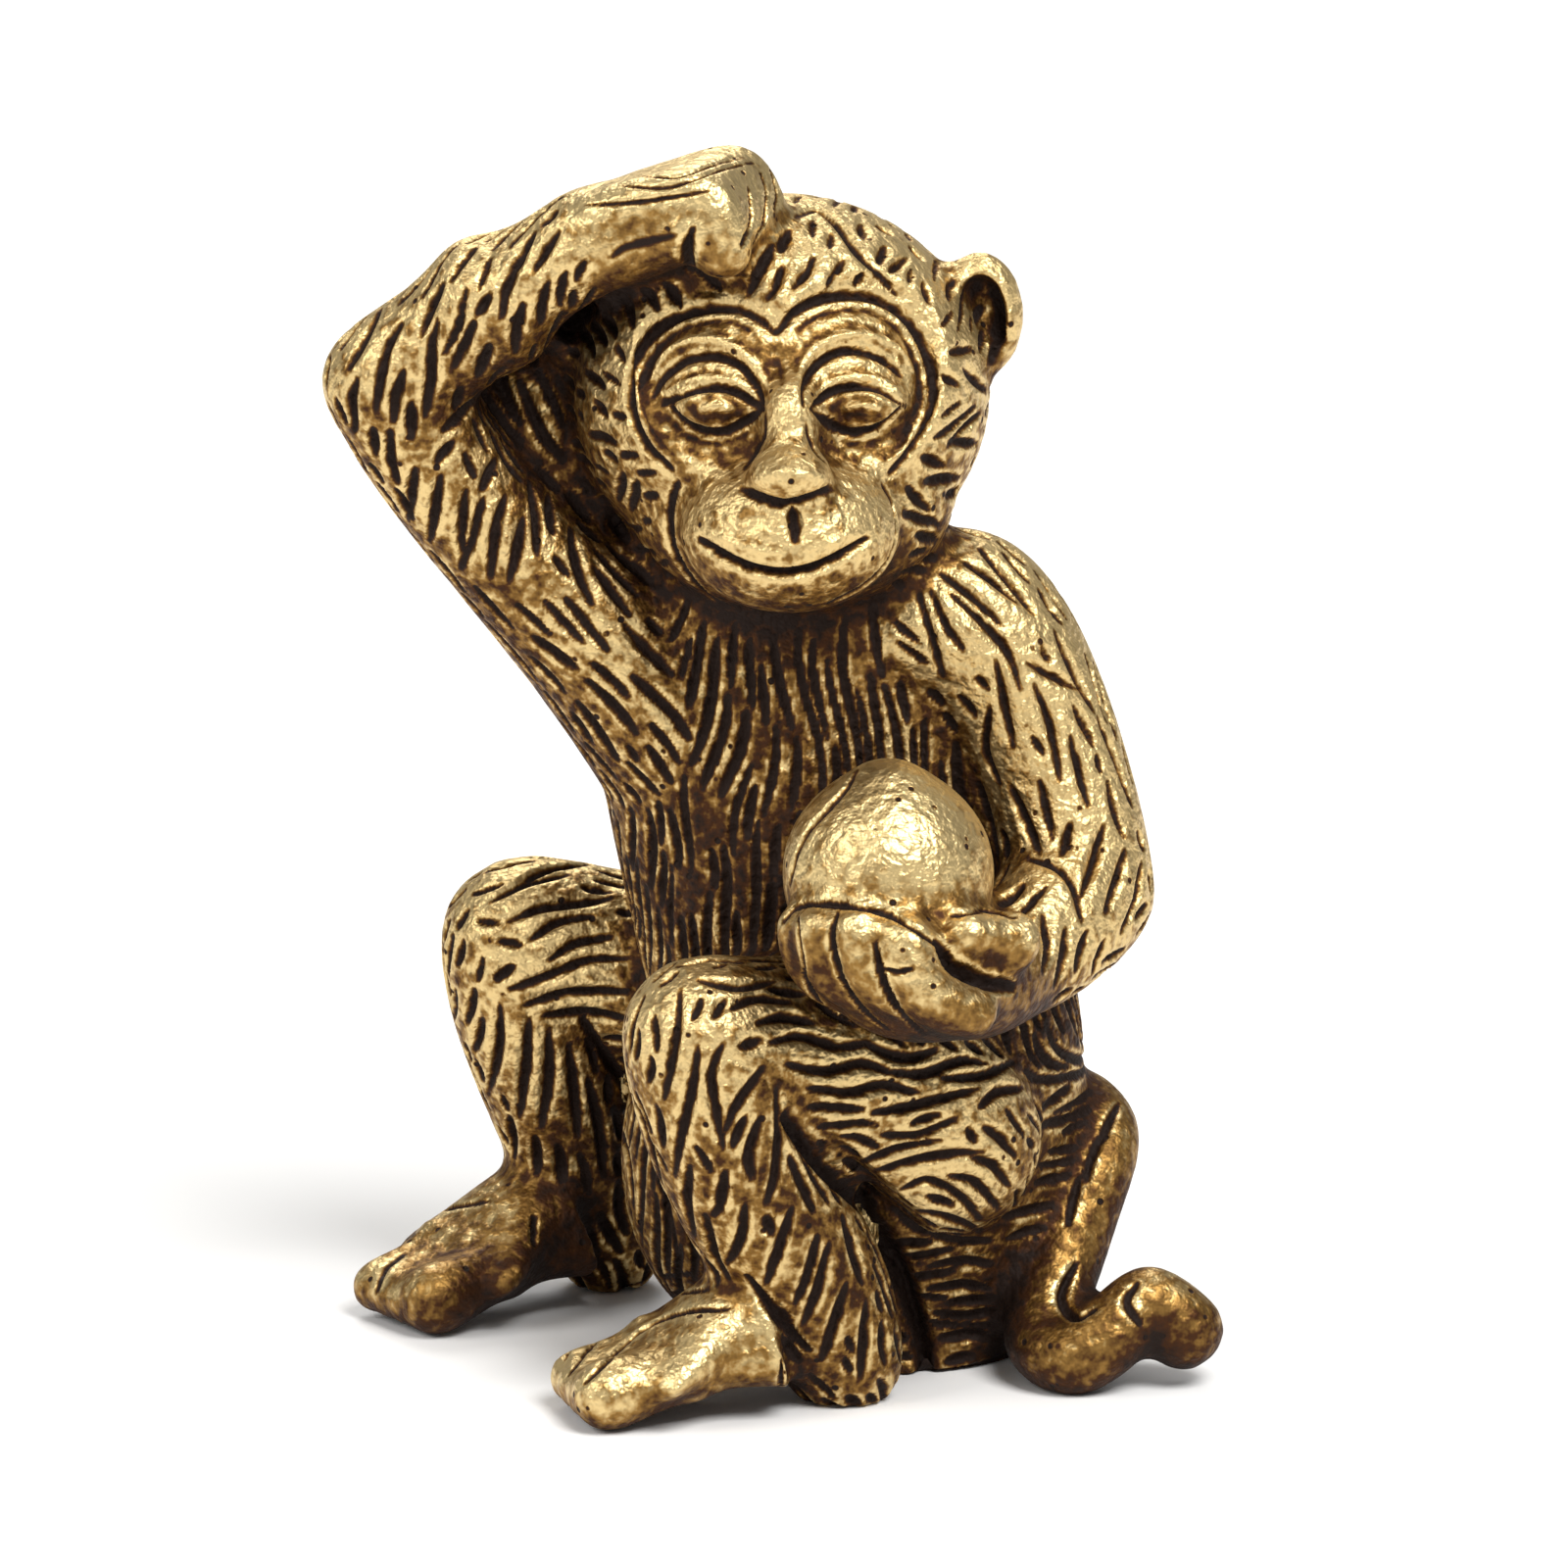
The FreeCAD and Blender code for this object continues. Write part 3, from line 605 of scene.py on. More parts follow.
    @staticmethod
    def islands(labels: np.ndarray, pairs: np.ndarray) -> np.ndarray:
        """Find the connected patches of one label.

        Args:
            labels: the label of each face.
            pairs: the two faces at each edge.

        Returns:
            For each face the lowest face number in its patch.
        """
        same = pairs[labels[pairs[:, 0]] == labels[pairs[:, 1]]]
        root = np.arange(len(labels))
        while True:
            low = np.minimum(root[same[:, 0]], root[same[:, 1]])
            new = root.copy()
            np.minimum.at(new, same[:, 0], low)
            np.minimum.at(new, same[:, 1], low)
            np.minimum.at(new, root[same[:, 0]], low)
            np.minimum.at(new, root[same[:, 1]], low)
            new = new[new]
            if (new == root).all():
                return root
            root = new

    def close(self, mesh: bpy.types.Mesh) -> None:
        """Close the openings that parting left, with caps that lie under the skin.

        Args:
            mesh: the mesh of one piece.
        """
        work = bmesh.new()
        work.from_mesh(mesh)
        for vert in [vert for vert in work.verts if sum(edge.is_boundary for edge in vert.link_edges) > 2]:
            bmesh.utils.vert_separate(vert, [edge for edge in vert.link_edges if edge.is_boundary])
        left = dict.fromkeys(edge for edge in work.edges if edge.is_boundary)
        shallow, deep = [], []
        while left:
            rim, front = [], [left.popitem()[0]]
            while front:
                edge = front.pop()
                rim.append(edge)
                for other in [other for vert in edge.verts for other in vert.link_edges]:
                    if other in left:
                        del left[other]
                        front.append(other)
            first, rest = self.cap(work, rim)
            shallow += first
            deep += rest
        for _ in range(self.CAP_RELAX_ROUNDS):
            bmesh.ops.smooth_vert(
                work, verts=deep, factor=0.5, use_axis_x=True, use_axis_y=True, use_axis_z=True
            )
        for vert in shallow + deep:
            place, normal, _, _ = self.surface.find_nearest(vert.co)
            if (vert.co - place).dot(normal) > -self.CAP_DEPTH_MM * MM:
                vert.co = place - normal * (self.CAP_DEPTH_MM * MM)
        untidy = sum(not edge.is_manifold for edge in work.edges)
        if untidy:
            LOG.warning("%s: %d edges don't join two faces", mesh.name, untidy)
        for face in work.faces:
            face.material_index = 0
            face.smooth = True
        work.to_mesh(mesh)
        work.free()
        ways = self.read(mesh.attributes["skin_way"].data, "vector", 3)
        mesh.normals_split_custom_set_from_vertices(ways.tolist())
        mesh.attributes.remove(mesh.attributes["skin_way"])

    def cap(
        self, work: bmesh.types.BMesh, rim: list[bmesh.types.BMEdge]
    ) -> tuple[list[bmesh.types.BMVert], list[bmesh.types.BMVert]]:
        """Close one opening with rings of faces that run to a hub in its middle.

        The rings lie close together near the rim, so that the cap bends away below a hollow skin.

        Args:
            work: the piece.
            rim: the edges round the opening.

        Returns:
            The corners of the first ring, and those further in.
        """
        corners = list(dict.fromkeys(vert for edge in rim for vert in edge.verts))
        middle = sum((vert.co for vert in corners), Vector()) / len(corners)
        radius = sum((vert.co - middle).length for vert in corners) / len(corners)
        reach = radius * self.CAP_REACH
        shares = [ring * MM / radius for ring in self.CAP_RINGS_MM if ring * MM < reach] or [self.LONE_RING]
        spokes = {
            vert: [vert] + [work.verts.new(vert.co.lerp(middle, share)) for share in shares]
            for vert in corners
        }
        hub = work.verts.new(middle)
        for edge in rim:
            side = edge.link_loops[0]
            first, second = spokes[side.link_loop_next.vert], spokes[side.vert]
            for ring in range(len(shares)):
                work.faces.new((first[ring], second[ring], second[ring + 1], first[ring + 1]))
            work.faces.new((first[-1], second[-1], hub))
            edge.smooth = False
        deeper = [vert for spoke in spokes.values() for vert in spoke[2:]]
        return [spoke[1] for spoke in spokes.values()], deeper + [hub]


def densify(path: Path, step: float) -> list[Pixel]:
    """The points of a smooth curve through a path, about a step apart.

    Args:
        path: the pixels that the curve goes through.
        step: distance between points, in pixels.

    Returns:
        The points of the curve.
    """
    knots = [Vector(pixel) for pixel in path]
    if len(knots) == 1:
        return [tuple(knots[0])]
    ends = [2 * knots[0] - knots[1]] + knots + [2 * knots[-1] - knots[-2]]
    points = []
    for before, start, end, after in zip(ends, ends[1:], ends[2:], ends[3:]):
        parts = max(1, round((end - start).length / step))
        for part in range(parts):
            t = part / parts
            points.append(0.5 * (
                2 * start + (end - before) * t
                + (2 * before - 5 * start + 4 * end - after) * t ** 2
                + (3 * start - before - 3 * end + after) * t ** 3
            ))
    points.append(knots[-1])
    return [tuple(point) for point in points]


def drawn_in(path: Path, centre: Pixel, share: float) -> Path:
    """A path with each pixel moved a share of the way to a centre."""
    return tuple((x + (centre[0] - x) * share, y + (centre[1] - y) * share) for x, y in path)


class FaceCarving:
    """The heart-shaped mask, the eyes, nose and mouth, as the photograph shows them."""

    RIM_LEFT: Path = (
        (792, 340), (776, 327), (757, 317), (735, 314), (711, 317), (688, 325), (666, 342), (651, 368),
        (643, 400), (647, 430), (662, 458), (684, 478),
    )
    RIM_RIGHT: Path = (
        (792, 340), (804, 326), (820, 314), (845, 304), (872, 301), (898, 306), (922, 321), (940, 346),
        (951, 378), (951, 408), (942, 436), (926, 464), (909, 482),
    )
    LEFT_LOBE: Pixel = (718, 400)
    RIGHT_LOBE: Pixel = (872, 392)
    LEFT_EYE: Path = ((715, 417), (730, 414), (746, 417))
    RIGHT_EYE: Path = ((862, 416), (879, 413), (897, 416))
    OUTLINE: Path = (
        (792, 328), (757, 304), (711, 304), (655, 336), (630, 400), (650, 460), (672, 490), (668, 540),
        (690, 595), (740, 632), (830, 640), (900, 610), (930, 560), (925, 500), (948, 462), (968, 400),
        (955, 345), (915, 298), (850, 288), (805, 310),
    )
    MARKS = (
        Mark(RIM_LEFT, 0.30, 0.34, 0.25),
        Mark(RIM_RIGHT, 0.30, 0.34, 0.25),
        # the sunk band inside the rim, and the dark bridge of the nose
        Mark(drawn_in(RIM_LEFT[1:], LEFT_LOBE, 0.15), 0.6, 0.2, 0.3, Section.GOUGE, 0.55),
        Mark(drawn_in(RIM_RIGHT[1:], RIGHT_LOBE, 0.15), 0.6, 0.2, 0.3, Section.GOUGE, 0.55),
        Mark(((790, 352), (794, 372), (798, 394)), 0.7, 0.12, 0.5, Section.GOUGE, 0.3),
        # dark patches over the brows, stained but barely cut: patina, and painted shade of a brow that sinks
        # deeper than this cut
        Mark(((668, 376), (700, 342), (740, 338), (778, 362)), 0.95, 0.02, 0.3, Section.GOUGE, 0.42),
        Mark(((812, 362), (842, 332), (884, 326), (926, 354)), 0.95, 0.02, 0.3, Section.GOUGE, 0.42),
        # brow ridges and the creases over the lids
        Mark(((662, 392), (675, 366), (697, 350), (725, 346), (752, 356), (774, 378), (788, 402)),
             0.34, -0.22, 0.5, Section.GOUGE),
        Mark(((812, 392), (826, 362), (848, 346), (872, 341), (898, 346), (920, 360), (935, 382)),
             0.34, -0.22, 0.5, Section.GOUGE),
        Mark(((666, 406), (677, 386), (697, 370), (719, 364), (739, 366), (758, 376), (771, 394), (779, 414)),
             0.24, 0.30, 0.4),
        Mark(((820, 414), (822, 392), (832, 374), (848, 363), (866, 358), (886, 361), (905, 370), (920, 384)),
             0.24, 0.30, 0.4),
        # upper lids
        Mark(((678, 403), (698, 391), (719, 386), (739, 387), (759, 394), (775, 408)),
             0.20, -0.20, 0.4, Section.GOUGE),
        Mark(((832, 405), (844, 393), (862, 386), (883, 385), (903, 390), (921, 403)),
             0.20, -0.20, 0.4, Section.GOUGE),
        # rims of the eyes
        Mark(((678, 412), (700, 401), (719, 396), (739, 396), (758, 403), (779, 418)), 0.22, 0.28, 0.3),
        Mark(((684, 414), (700, 430), (719, 440), (739, 441), (758, 432), (776, 419)), 0.22, 0.28, 0.3),
        Mark(((828, 418), (841, 404), (860, 396), (882, 394), (901, 399), (921, 413)), 0.22, 0.28, 0.3),
        Mark(((830, 419), (847, 433), (866, 441), (888, 439), (907, 428), (922, 414)), 0.22, 0.28, 0.3),
        # bags under the eyes and the sides of the bridge
        Mark(((684, 432), (704, 447), (728, 453), (752, 448), (768, 436)),
             0.24, 0.08, 0.6, Section.GOUGE, 0.0),
        Mark(((842, 438), (860, 450), (884, 453), (908, 445), (922, 430)),
             0.24, 0.08, 0.6, Section.GOUGE, 0.0),
        Mark(((822, 428), (826, 446), (833, 462), (845, 474)), 0.16, 0.12, 0.6),
        Mark(((781, 424), (780, 444), (772, 462), (760, 478)), 0.20, 0.10, 0.6, Section.GOUGE),
        # width, underside and groove of the nose
        Mark(((770, 490), (786, 484), (805, 482), (824, 484), (841, 490)),
             0.75, -0.16, 0.3, Section.GOUGE, 0.0),
        Mark(((756, 499), (776, 508), (801, 515), (826, 508), (848, 498)), 0.30, 0.34, 0.5),
        Mark(((808, 519), (811, 536), (812, 552)), 0.32, 0.4, 0.5),
        # the smile, with a soft fold over it
        Mark(((713, 550), (732, 563), (755, 576), (780, 584), (802, 586), (825, 582), (847, 573), (866, 562),
              (886, 549)), 0.27, 0.45, 0.3),
        Mark(((722, 541), (745, 553), (775, 562), (802, 566)), 0.35, -0.10, 0.6, Section.GOUGE),
        Mark(((822, 563), (846, 554), (868, 543), (882, 534)), 0.35, -0.10, 0.6, Section.GOUGE),
        # creases from the cheeks round the muzzle
        Mark(((692, 492), (685, 512), (683, 535), (686, 557), (697, 580), (716, 602), (742, 618)),
             0.24, 0.32, 0.4),
        Mark(((901, 495), (911, 515), (915, 538), (912, 560), (901, 580), (878, 600), (845, 616)),
             0.24, 0.32, 0.4),
        # dark eyes with raised balls
        Mark(LEFT_EYE, 0.75, 0.01, 0.2, Section.GOUGE, 0.5),
        Mark(LEFT_EYE, 0.42, -0.26, 0.3, Section.GOUGE),
        Mark(RIGHT_EYE, 0.75, 0.01, 0.2, Section.GOUGE, 0.5),
        Mark(RIGHT_EYE, 0.42, -0.26, 0.3, Section.GOUGE),
    )

    def carve(self, skin: CastSkin) -> None:
        """Cut the face into the skin."""
        for mark in self.MARKS:
            skin.draw(mark)

    def holds(self, pixel: Pixel) -> bool:
        """Look up whether a pixel lies on the bare face, where no fur grows.

        Args:
            pixel: column and row in the 1600 pixel frame.

        Returns:
            Whether it does.
        """
        inside = False
        x, y = pixel
        for (x0, y0), (x1, y1) in zip(self.OUTLINE, self.OUTLINE[1:] + self.OUTLINE[:1]):
            if (y0 > y) != (y1 > y) and x < (x1 - x0) * (y - y0) / (y1 - y0) + x0:
                inside = not inside
        return inside


class HandAndFootCarving:
    """The lines of the fingers, the toes and the peach."""

    MARKS = (
        # raised hand: its back, and the rims of the fingers behind the near one
        Mark(((597, 209), (643, 207), (688, 201), (726, 194)), 0.13, 0.16),
        Mark(((633, 189), (678, 191), (712, 181), (739, 172), (768, 166)), 0.13, 0.16),
        Mark(((650, 179), (692, 180), (728, 168), (760, 160)), 0.12, 0.15),
        Mark(((764, 191), (768, 214), (765, 234), (757, 250)), 0.20, 0.34),
        Mark(((776, 176), (783, 200), (780, 226), (768, 250)), 0.15, 0.26),
        Mark(((786, 172), (793, 196), (790, 214)), 0.12, 0.2),
        Mark(((707, 233), (703, 246), (701, 262), (707, 275)), 0.28, 0.4),
        Mark(((625, 262), (640, 252), (690, 240)), 0.2, 0.08, 0.5, Section.GOUGE),
        # holding hand
        Mark(((814, 934), (816, 966), (826, 1008), (843, 1030), (872, 1047)), 0.17, 0.32),
        Mark(((855, 930), (849, 953), (853, 979), (862, 1004), (884, 1034), (906, 1051)), 0.17, 0.32),
        Mark(((893, 962), (899, 995), (914, 1027), (943, 1056)), 0.17, 0.32),
        Mark(((900, 988), (916, 992), (932, 988)), 0.13, 0.22),
        Mark(((799, 940), (812, 927), (836, 922), (872, 925), (905, 932), (935, 948), (962, 968)),
             0.2, 0.3, 0.3),
        Mark(((956, 962), (972, 986), (1000, 1000), (1034, 1008)), 0.34, 0.6, 0.3),
        Mark(((972, 934), (1004, 930), (1036, 936)), 0.2, 0.25, 0.4),
        # the cleft of the peach
        Mark(((874, 786), (862, 806), (842, 828), (823, 850), (812, 874), (806, 902)), 0.2, 0.26),
        # near foot: toes behind the great toe, and the crease at the ankle
        Mark(((576, 1388), (594, 1352), (630, 1322), (668, 1306), (706, 1300)), 0.17, 0.3),
        Mark(((580, 1404), (604, 1372), (640, 1340), (684, 1322), (724, 1316)), 0.17, 0.3),
        Mark(((596, 1412), (622, 1386), (656, 1356), (700, 1338), (744, 1336)), 0.2, 0.34),
        Mark(((762, 1302), (786, 1334), (812, 1366), (826, 1378)), 0.24, 0.4),
        Mark(((799, 1378), (798, 1400), (796, 1422)), 0.12, 0.2),
        # far foot
        Mark(((545, 1243), (545, 1268)), 0.14, 0.3, 0.1),
        Mark(((372, 1288), (392, 1262), (424, 1244), (462, 1232), (500, 1226)), 0.17, 0.2),
        Mark(((384, 1318), (392, 1296), (412, 1280)), 0.2, 0.2),
        # the deep groove behind the near shin
        Mark(((803, 1141), (835, 1183), (866, 1216), (890, 1250), (914, 1293), (932, 1340), (943, 1380),
              (947, 1412)), 0.62, 0.95, 0.18, Section.GOUGE),
        # the parting of the shins
        Mark(((588, 1030), (614, 1072), (640, 1112), (660, 1160), (676, 1216), (690, 1280)),
             0.3, 0.4, 0.3, Section.GOUGE),
        # the folds of the tail
        Mark(((1132, 1098), (1150, 1110), (1160, 1134)), 0.16, 0.16),
        Mark(((1098, 1290), (1084, 1322), (1096, 1344), (1118, 1336)), 0.24, 0.4),
        Mark(((1160, 1310), (1150, 1328), (1164, 1352)), 0.22, 0.26),
        Mark(((1142, 1126), (1130, 1148), (1124, 1166)), 0.2, 0.2),
        Mark(((1122, 1160), (1112, 1186), (1108, 1206)), 0.2, 0.2),
        Mark(((1102, 1200), (1094, 1228), (1090, 1250)), 0.2, 0.2),
        # hollow of the ear
        Mark(((1014, 294), (1020, 318), (1020, 344), (1014, 366)), 0.42, 0.5, 0.2, Section.GOUGE),
    )

    def carve(self, skin: CastSkin) -> None:
        """Cut the lines of hands, feet, peach and tail."""
        for mark in self.MARKS:
            skin.draw(mark)


class DrawnFur:
    """The strokes of the fur that the photograph shows one by one."""

    FOREHEAD: tuple[Path, ...] = (
        ((799, 270), (792, 288), (783, 305)), ((831, 262), (822, 278), (808, 294)),
        ((861, 264), (854, 278), (845, 293)), ((904, 251), (897, 268)), ((926, 262), (908, 277)),
        ((879, 228), (882, 242)), ((896, 230), (908, 238)), ((930, 252), (940, 263)),
        ((812, 222), (834, 214), (856, 230), (876, 257), (895, 277), (914, 302)),
        ((790, 250), (776, 276), (764, 300)), ((806, 236), (796, 256)), ((943, 288), (950, 310)),
    )
    CHEEKS: tuple[Path, ...] = (
        ((984, 376), (1006, 398)), ((1000, 422), (984, 440), (968, 455)), ((970, 450), (997, 453)),
        ((942, 467), (962, 476)), ((945, 491), (978, 488)), ((926, 498), (949, 522)),
        ((923, 524), (958, 535)), ((970, 360), (991, 356)), ((960, 382), (978, 392)),
        ((966, 506), (984, 500)), ((936, 546), (956, 552)), ((601, 444), (612, 446), (627, 452)),
        ((636, 484), (630, 510)), ((650, 492), (643, 520)), ((606, 410), (618, 424)),
        ((620, 520), (640, 552)), ((594, 336), (606, 362)), ((604, 330), (618, 352)),
        ((616, 322), (628, 342)), ((598, 380), (616, 396)), ((628, 470), (616, 462)),
    )
    RAISED_ARM: tuple[Path, ...] = (
        ((388, 316), (372, 344), (356, 376)), ((410, 330), (394, 356), (386, 396), (384, 420)),
        ((452, 290), (438, 316), (430, 342)), ((446, 326), (440, 352), (440, 388), (434, 424)),
        ((412, 378), (404, 404), (402, 430)), ((364, 386), (358, 408), (362, 440)),
        ((484, 328), (474, 350), (464, 374)), ((500, 300), (486, 322)), ((546, 236), (530, 262), (512, 296)),
        ((536, 252), (522, 280)), ((570, 236), (556, 256), (544, 278)), ((530, 262), (516, 296), (512, 324)),
        ((560, 288), (554, 312), (552, 330)), ((534, 310), (528, 336), (526, 360)),
        ((500, 352), (488, 384)), ((470, 396), (466, 420)), ((490, 400), (470, 424), (452, 440)),
        ((380, 438), (382, 464)), ((398, 440), (398, 470), (406, 494)), ((420, 412), (420, 448)),
        ((424, 478), (420, 500), (416, 530)), ((450, 486), (444, 520), (438, 552)),
        ((476, 500), (472, 540), (472, 572)), ((494, 508), (484, 544), (470, 580)),
        ((516, 506), (506, 544), (500, 590)), ((534, 528), (528, 562), (520, 592)),
        ((540, 492), (548, 528), (548, 566)), ((560, 506), (564, 544)), ((582, 540), (590, 580), (604, 616)),
        ((404, 500), (420, 530)), ((462, 452), (446, 472)), ((506, 470), (492, 500)),
    )
    NEAR_ARM: tuple[Path, ...] = (
        ((960, 586), (992, 608), (1024, 640)), ((968, 604), (1000, 632), (1030, 668), (1042, 704)),
        ((950, 604), (966, 640), (984, 664)), ((938, 606), (950, 648), (962, 690)),
        ((1000, 560), (1030, 592), (1056, 628)), ((984, 574), (1012, 590), (1044, 618)),
        ((1048, 676), (1076, 690), (1106, 704)), ((1056, 698), (1072, 740), (1082, 796)),
        ((1092, 750), (1102, 786), (1110, 822)), ((1016, 672), (1024, 716), (1034, 764)),
        ((1076, 642), (1096, 684), (1118, 728)), ((1120, 730), (1140, 776), (1156, 824)),
        ((1126, 842), (1116, 880), (1102, 920)), ((1148, 868), (1140, 900), (1128, 932)),
        ((1166, 878), (1160, 920), (1144, 952)), ((1030, 800), (1048, 842), (1062, 872)),
        ((1048, 876), (1078, 884), (1096, 904), (1104, 940)), ((1084, 872), (1092, 840)),
        ((1064, 934), (1070, 966), (1064, 992)), ((1088, 946), (1086, 976), (1076, 1006)),
        ((1010, 720), (1004, 764), (1020, 800)), ((1138, 700), (1152, 746)), ((1060, 600), (1084, 636)),
        ((1110, 950), (1098, 990)), ((1128, 960), (1116, 992)), ((1160, 780), (1168, 822)),
    )
    NEAR_LEG: tuple[Path, ...] = (
        ((664, 1080), (662, 1102)), ((694, 1010), (690, 1046), (684, 1084), (678, 1120)),
        ((712, 1068), (706, 1110), (694, 1160), (688, 1200)),
        ((738, 1064), (726, 1100), (734, 1150), (738, 1172)),
        ((778, 1090), (752, 1130), (738, 1160)), ((792, 1112), (796, 1152), (792, 1196), (782, 1228)),
        ((776, 1140), (764, 1180), (768, 1204)), ((740, 1196), (734, 1230), (728, 1240)),
        ((760, 1230), (756, 1262), (742, 1290)), ((808, 1234), (798, 1266), (782, 1310)),
        ((834, 1262), (826, 1300), (812, 1330)), ((846, 1270), (834, 1318), (820, 1350)),
        ((864, 1310), (852, 1350), (838, 1388)), ((884, 1330), (882, 1370), (878, 1408)),
        ((704, 1190), (700, 1226), (708, 1260)), ((720, 1240), (728, 1280), (744, 1306)),
        ((670, 1130), (676, 1170)), ((650, 1050), (648, 1080)), ((860, 1240), (872, 1280), (880, 1310)),
        ((806, 1180), (820, 1210), (830, 1236)), ((900, 1350), (904, 1392)), ((716, 1020), (706, 1040)),
        ((740, 1020), (728, 1038)), ((760, 1140), (748, 1170)), ((846, 1200), (858, 1226)),
    )
    NEAR_THIGH: tuple[Path, ...] = (
        ((690, 986), (724, 978), (756, 982)), ((712, 1000), (752, 1006), (790, 1002)),
        ((744, 1030), (772, 1018), (806, 1022)), ((784, 1008), (820, 1014)),
        ((772, 1044), (800, 1038), (830, 1044)),
        ((786, 1064), (818, 1058), (856, 1068), (888, 1064)),
        ((802, 1086), (842, 1094), (880, 1086), (912, 1096)),
        ((824, 1110), (866, 1116), (902, 1108), (938, 1116)), ((884, 1066), (924, 1080), (956, 1072)),
        ((908, 1094), (944, 1096), (984, 1082), (1010, 1086)),
        ((890, 1136), (930, 1130), (968, 1120), (1000, 1110)),
        ((930, 1148), (960, 1138)), ((900, 1158), (936, 1160), (976, 1142)),
        ((880, 1186), (916, 1174), (960, 1164)),
        ((960, 1100), (1000, 1098), (1034, 1084)), ((1000, 1130), (1020, 1114), (1044, 1110)),
    )
    HAUNCH: tuple[Path, ...] = (
        ((892, 1196), (930, 1186), (970, 1178), (1004, 1176)),
        ((920, 1214), (948, 1206), (980, 1222), (1000, 1244)),
        ((936, 1236), (968, 1244), (1000, 1256)), ((912, 1232), (936, 1254), (972, 1266), (1012, 1266)),
        ((968, 1200), (996, 1208), (1020, 1234)), ((1004, 1150), (1022, 1162), (1036, 1180)),
        ((990, 1180), (1014, 1190), (1030, 1210)), ((950, 1292), (984, 1288), (1012, 1290)),
        ((948, 1316), (984, 1312), (1010, 1316)), ((952, 1340), (986, 1344), (1014, 1336)),
        ((958, 1366), (990, 1362), (1012, 1366)), ((966, 1390), (992, 1384)),
    )
    FAR_LEG: tuple[Path, ...] = (
        ((500, 920), (536, 900), (580, 892)), ((520, 906), (560, 886), (610, 880)),
        ((520, 940), (552, 926), (600, 920), (624, 916)), ((540, 960), (570, 940), (604, 934)),
        ((560, 980), (590, 962), (624, 956)), ((520, 1010), (560, 996), (600, 980), (640, 978)),
        ((536, 1026), (580, 1014), (640, 1012)), ((556, 1036), (600, 1034), (640, 1040)),
        ((472, 960), (466, 984)), ((484, 1010), (476, 1044)), ((510, 1026), (508, 1070), (498, 1116)),
        ((492, 1040), (484, 1072)), ((540, 1040), (536, 1090), (530, 1140)),
        ((560, 1050), (560, 1100), (552, 1150)),
        ((580, 1064), (586, 1110), (590, 1160)), ((520, 1140), (524, 1180)), ((546, 1160), (548, 1196)),
        ((600, 1100), (612, 1150), (616, 1200)), ((464, 1010), (462, 1040)), ((570, 1170), (574, 1206)),
        ((626, 1130), (640, 1180), (646, 1230)), ((506, 1000), (524, 986)),
    )
    HALF_WIDTH, DEPTH, TAPER = 0.28, 0.32, 0.7

    def carve(self, skin: CastSkin) -> list[Vector]:
        """Cut the drawn strokes.

        Args:
            skin: what they are cut into.

        Returns:
            The places that they run through, for the rest of the fur to keep clear of.
        """
        groups = (
            self.FOREHEAD, self.CHEEKS, self.RAISED_ARM, self.NEAR_ARM, self.NEAR_LEG, self.NEAR_THIGH,
            self.HAUNCH, self.FAR_LEG,
        )
        places = []
        for group in groups:
            for path in group:
                places += skin.draw(Mark(path, self.HALF_WIDTH, self.DEPTH, self.TAPER))
        return places


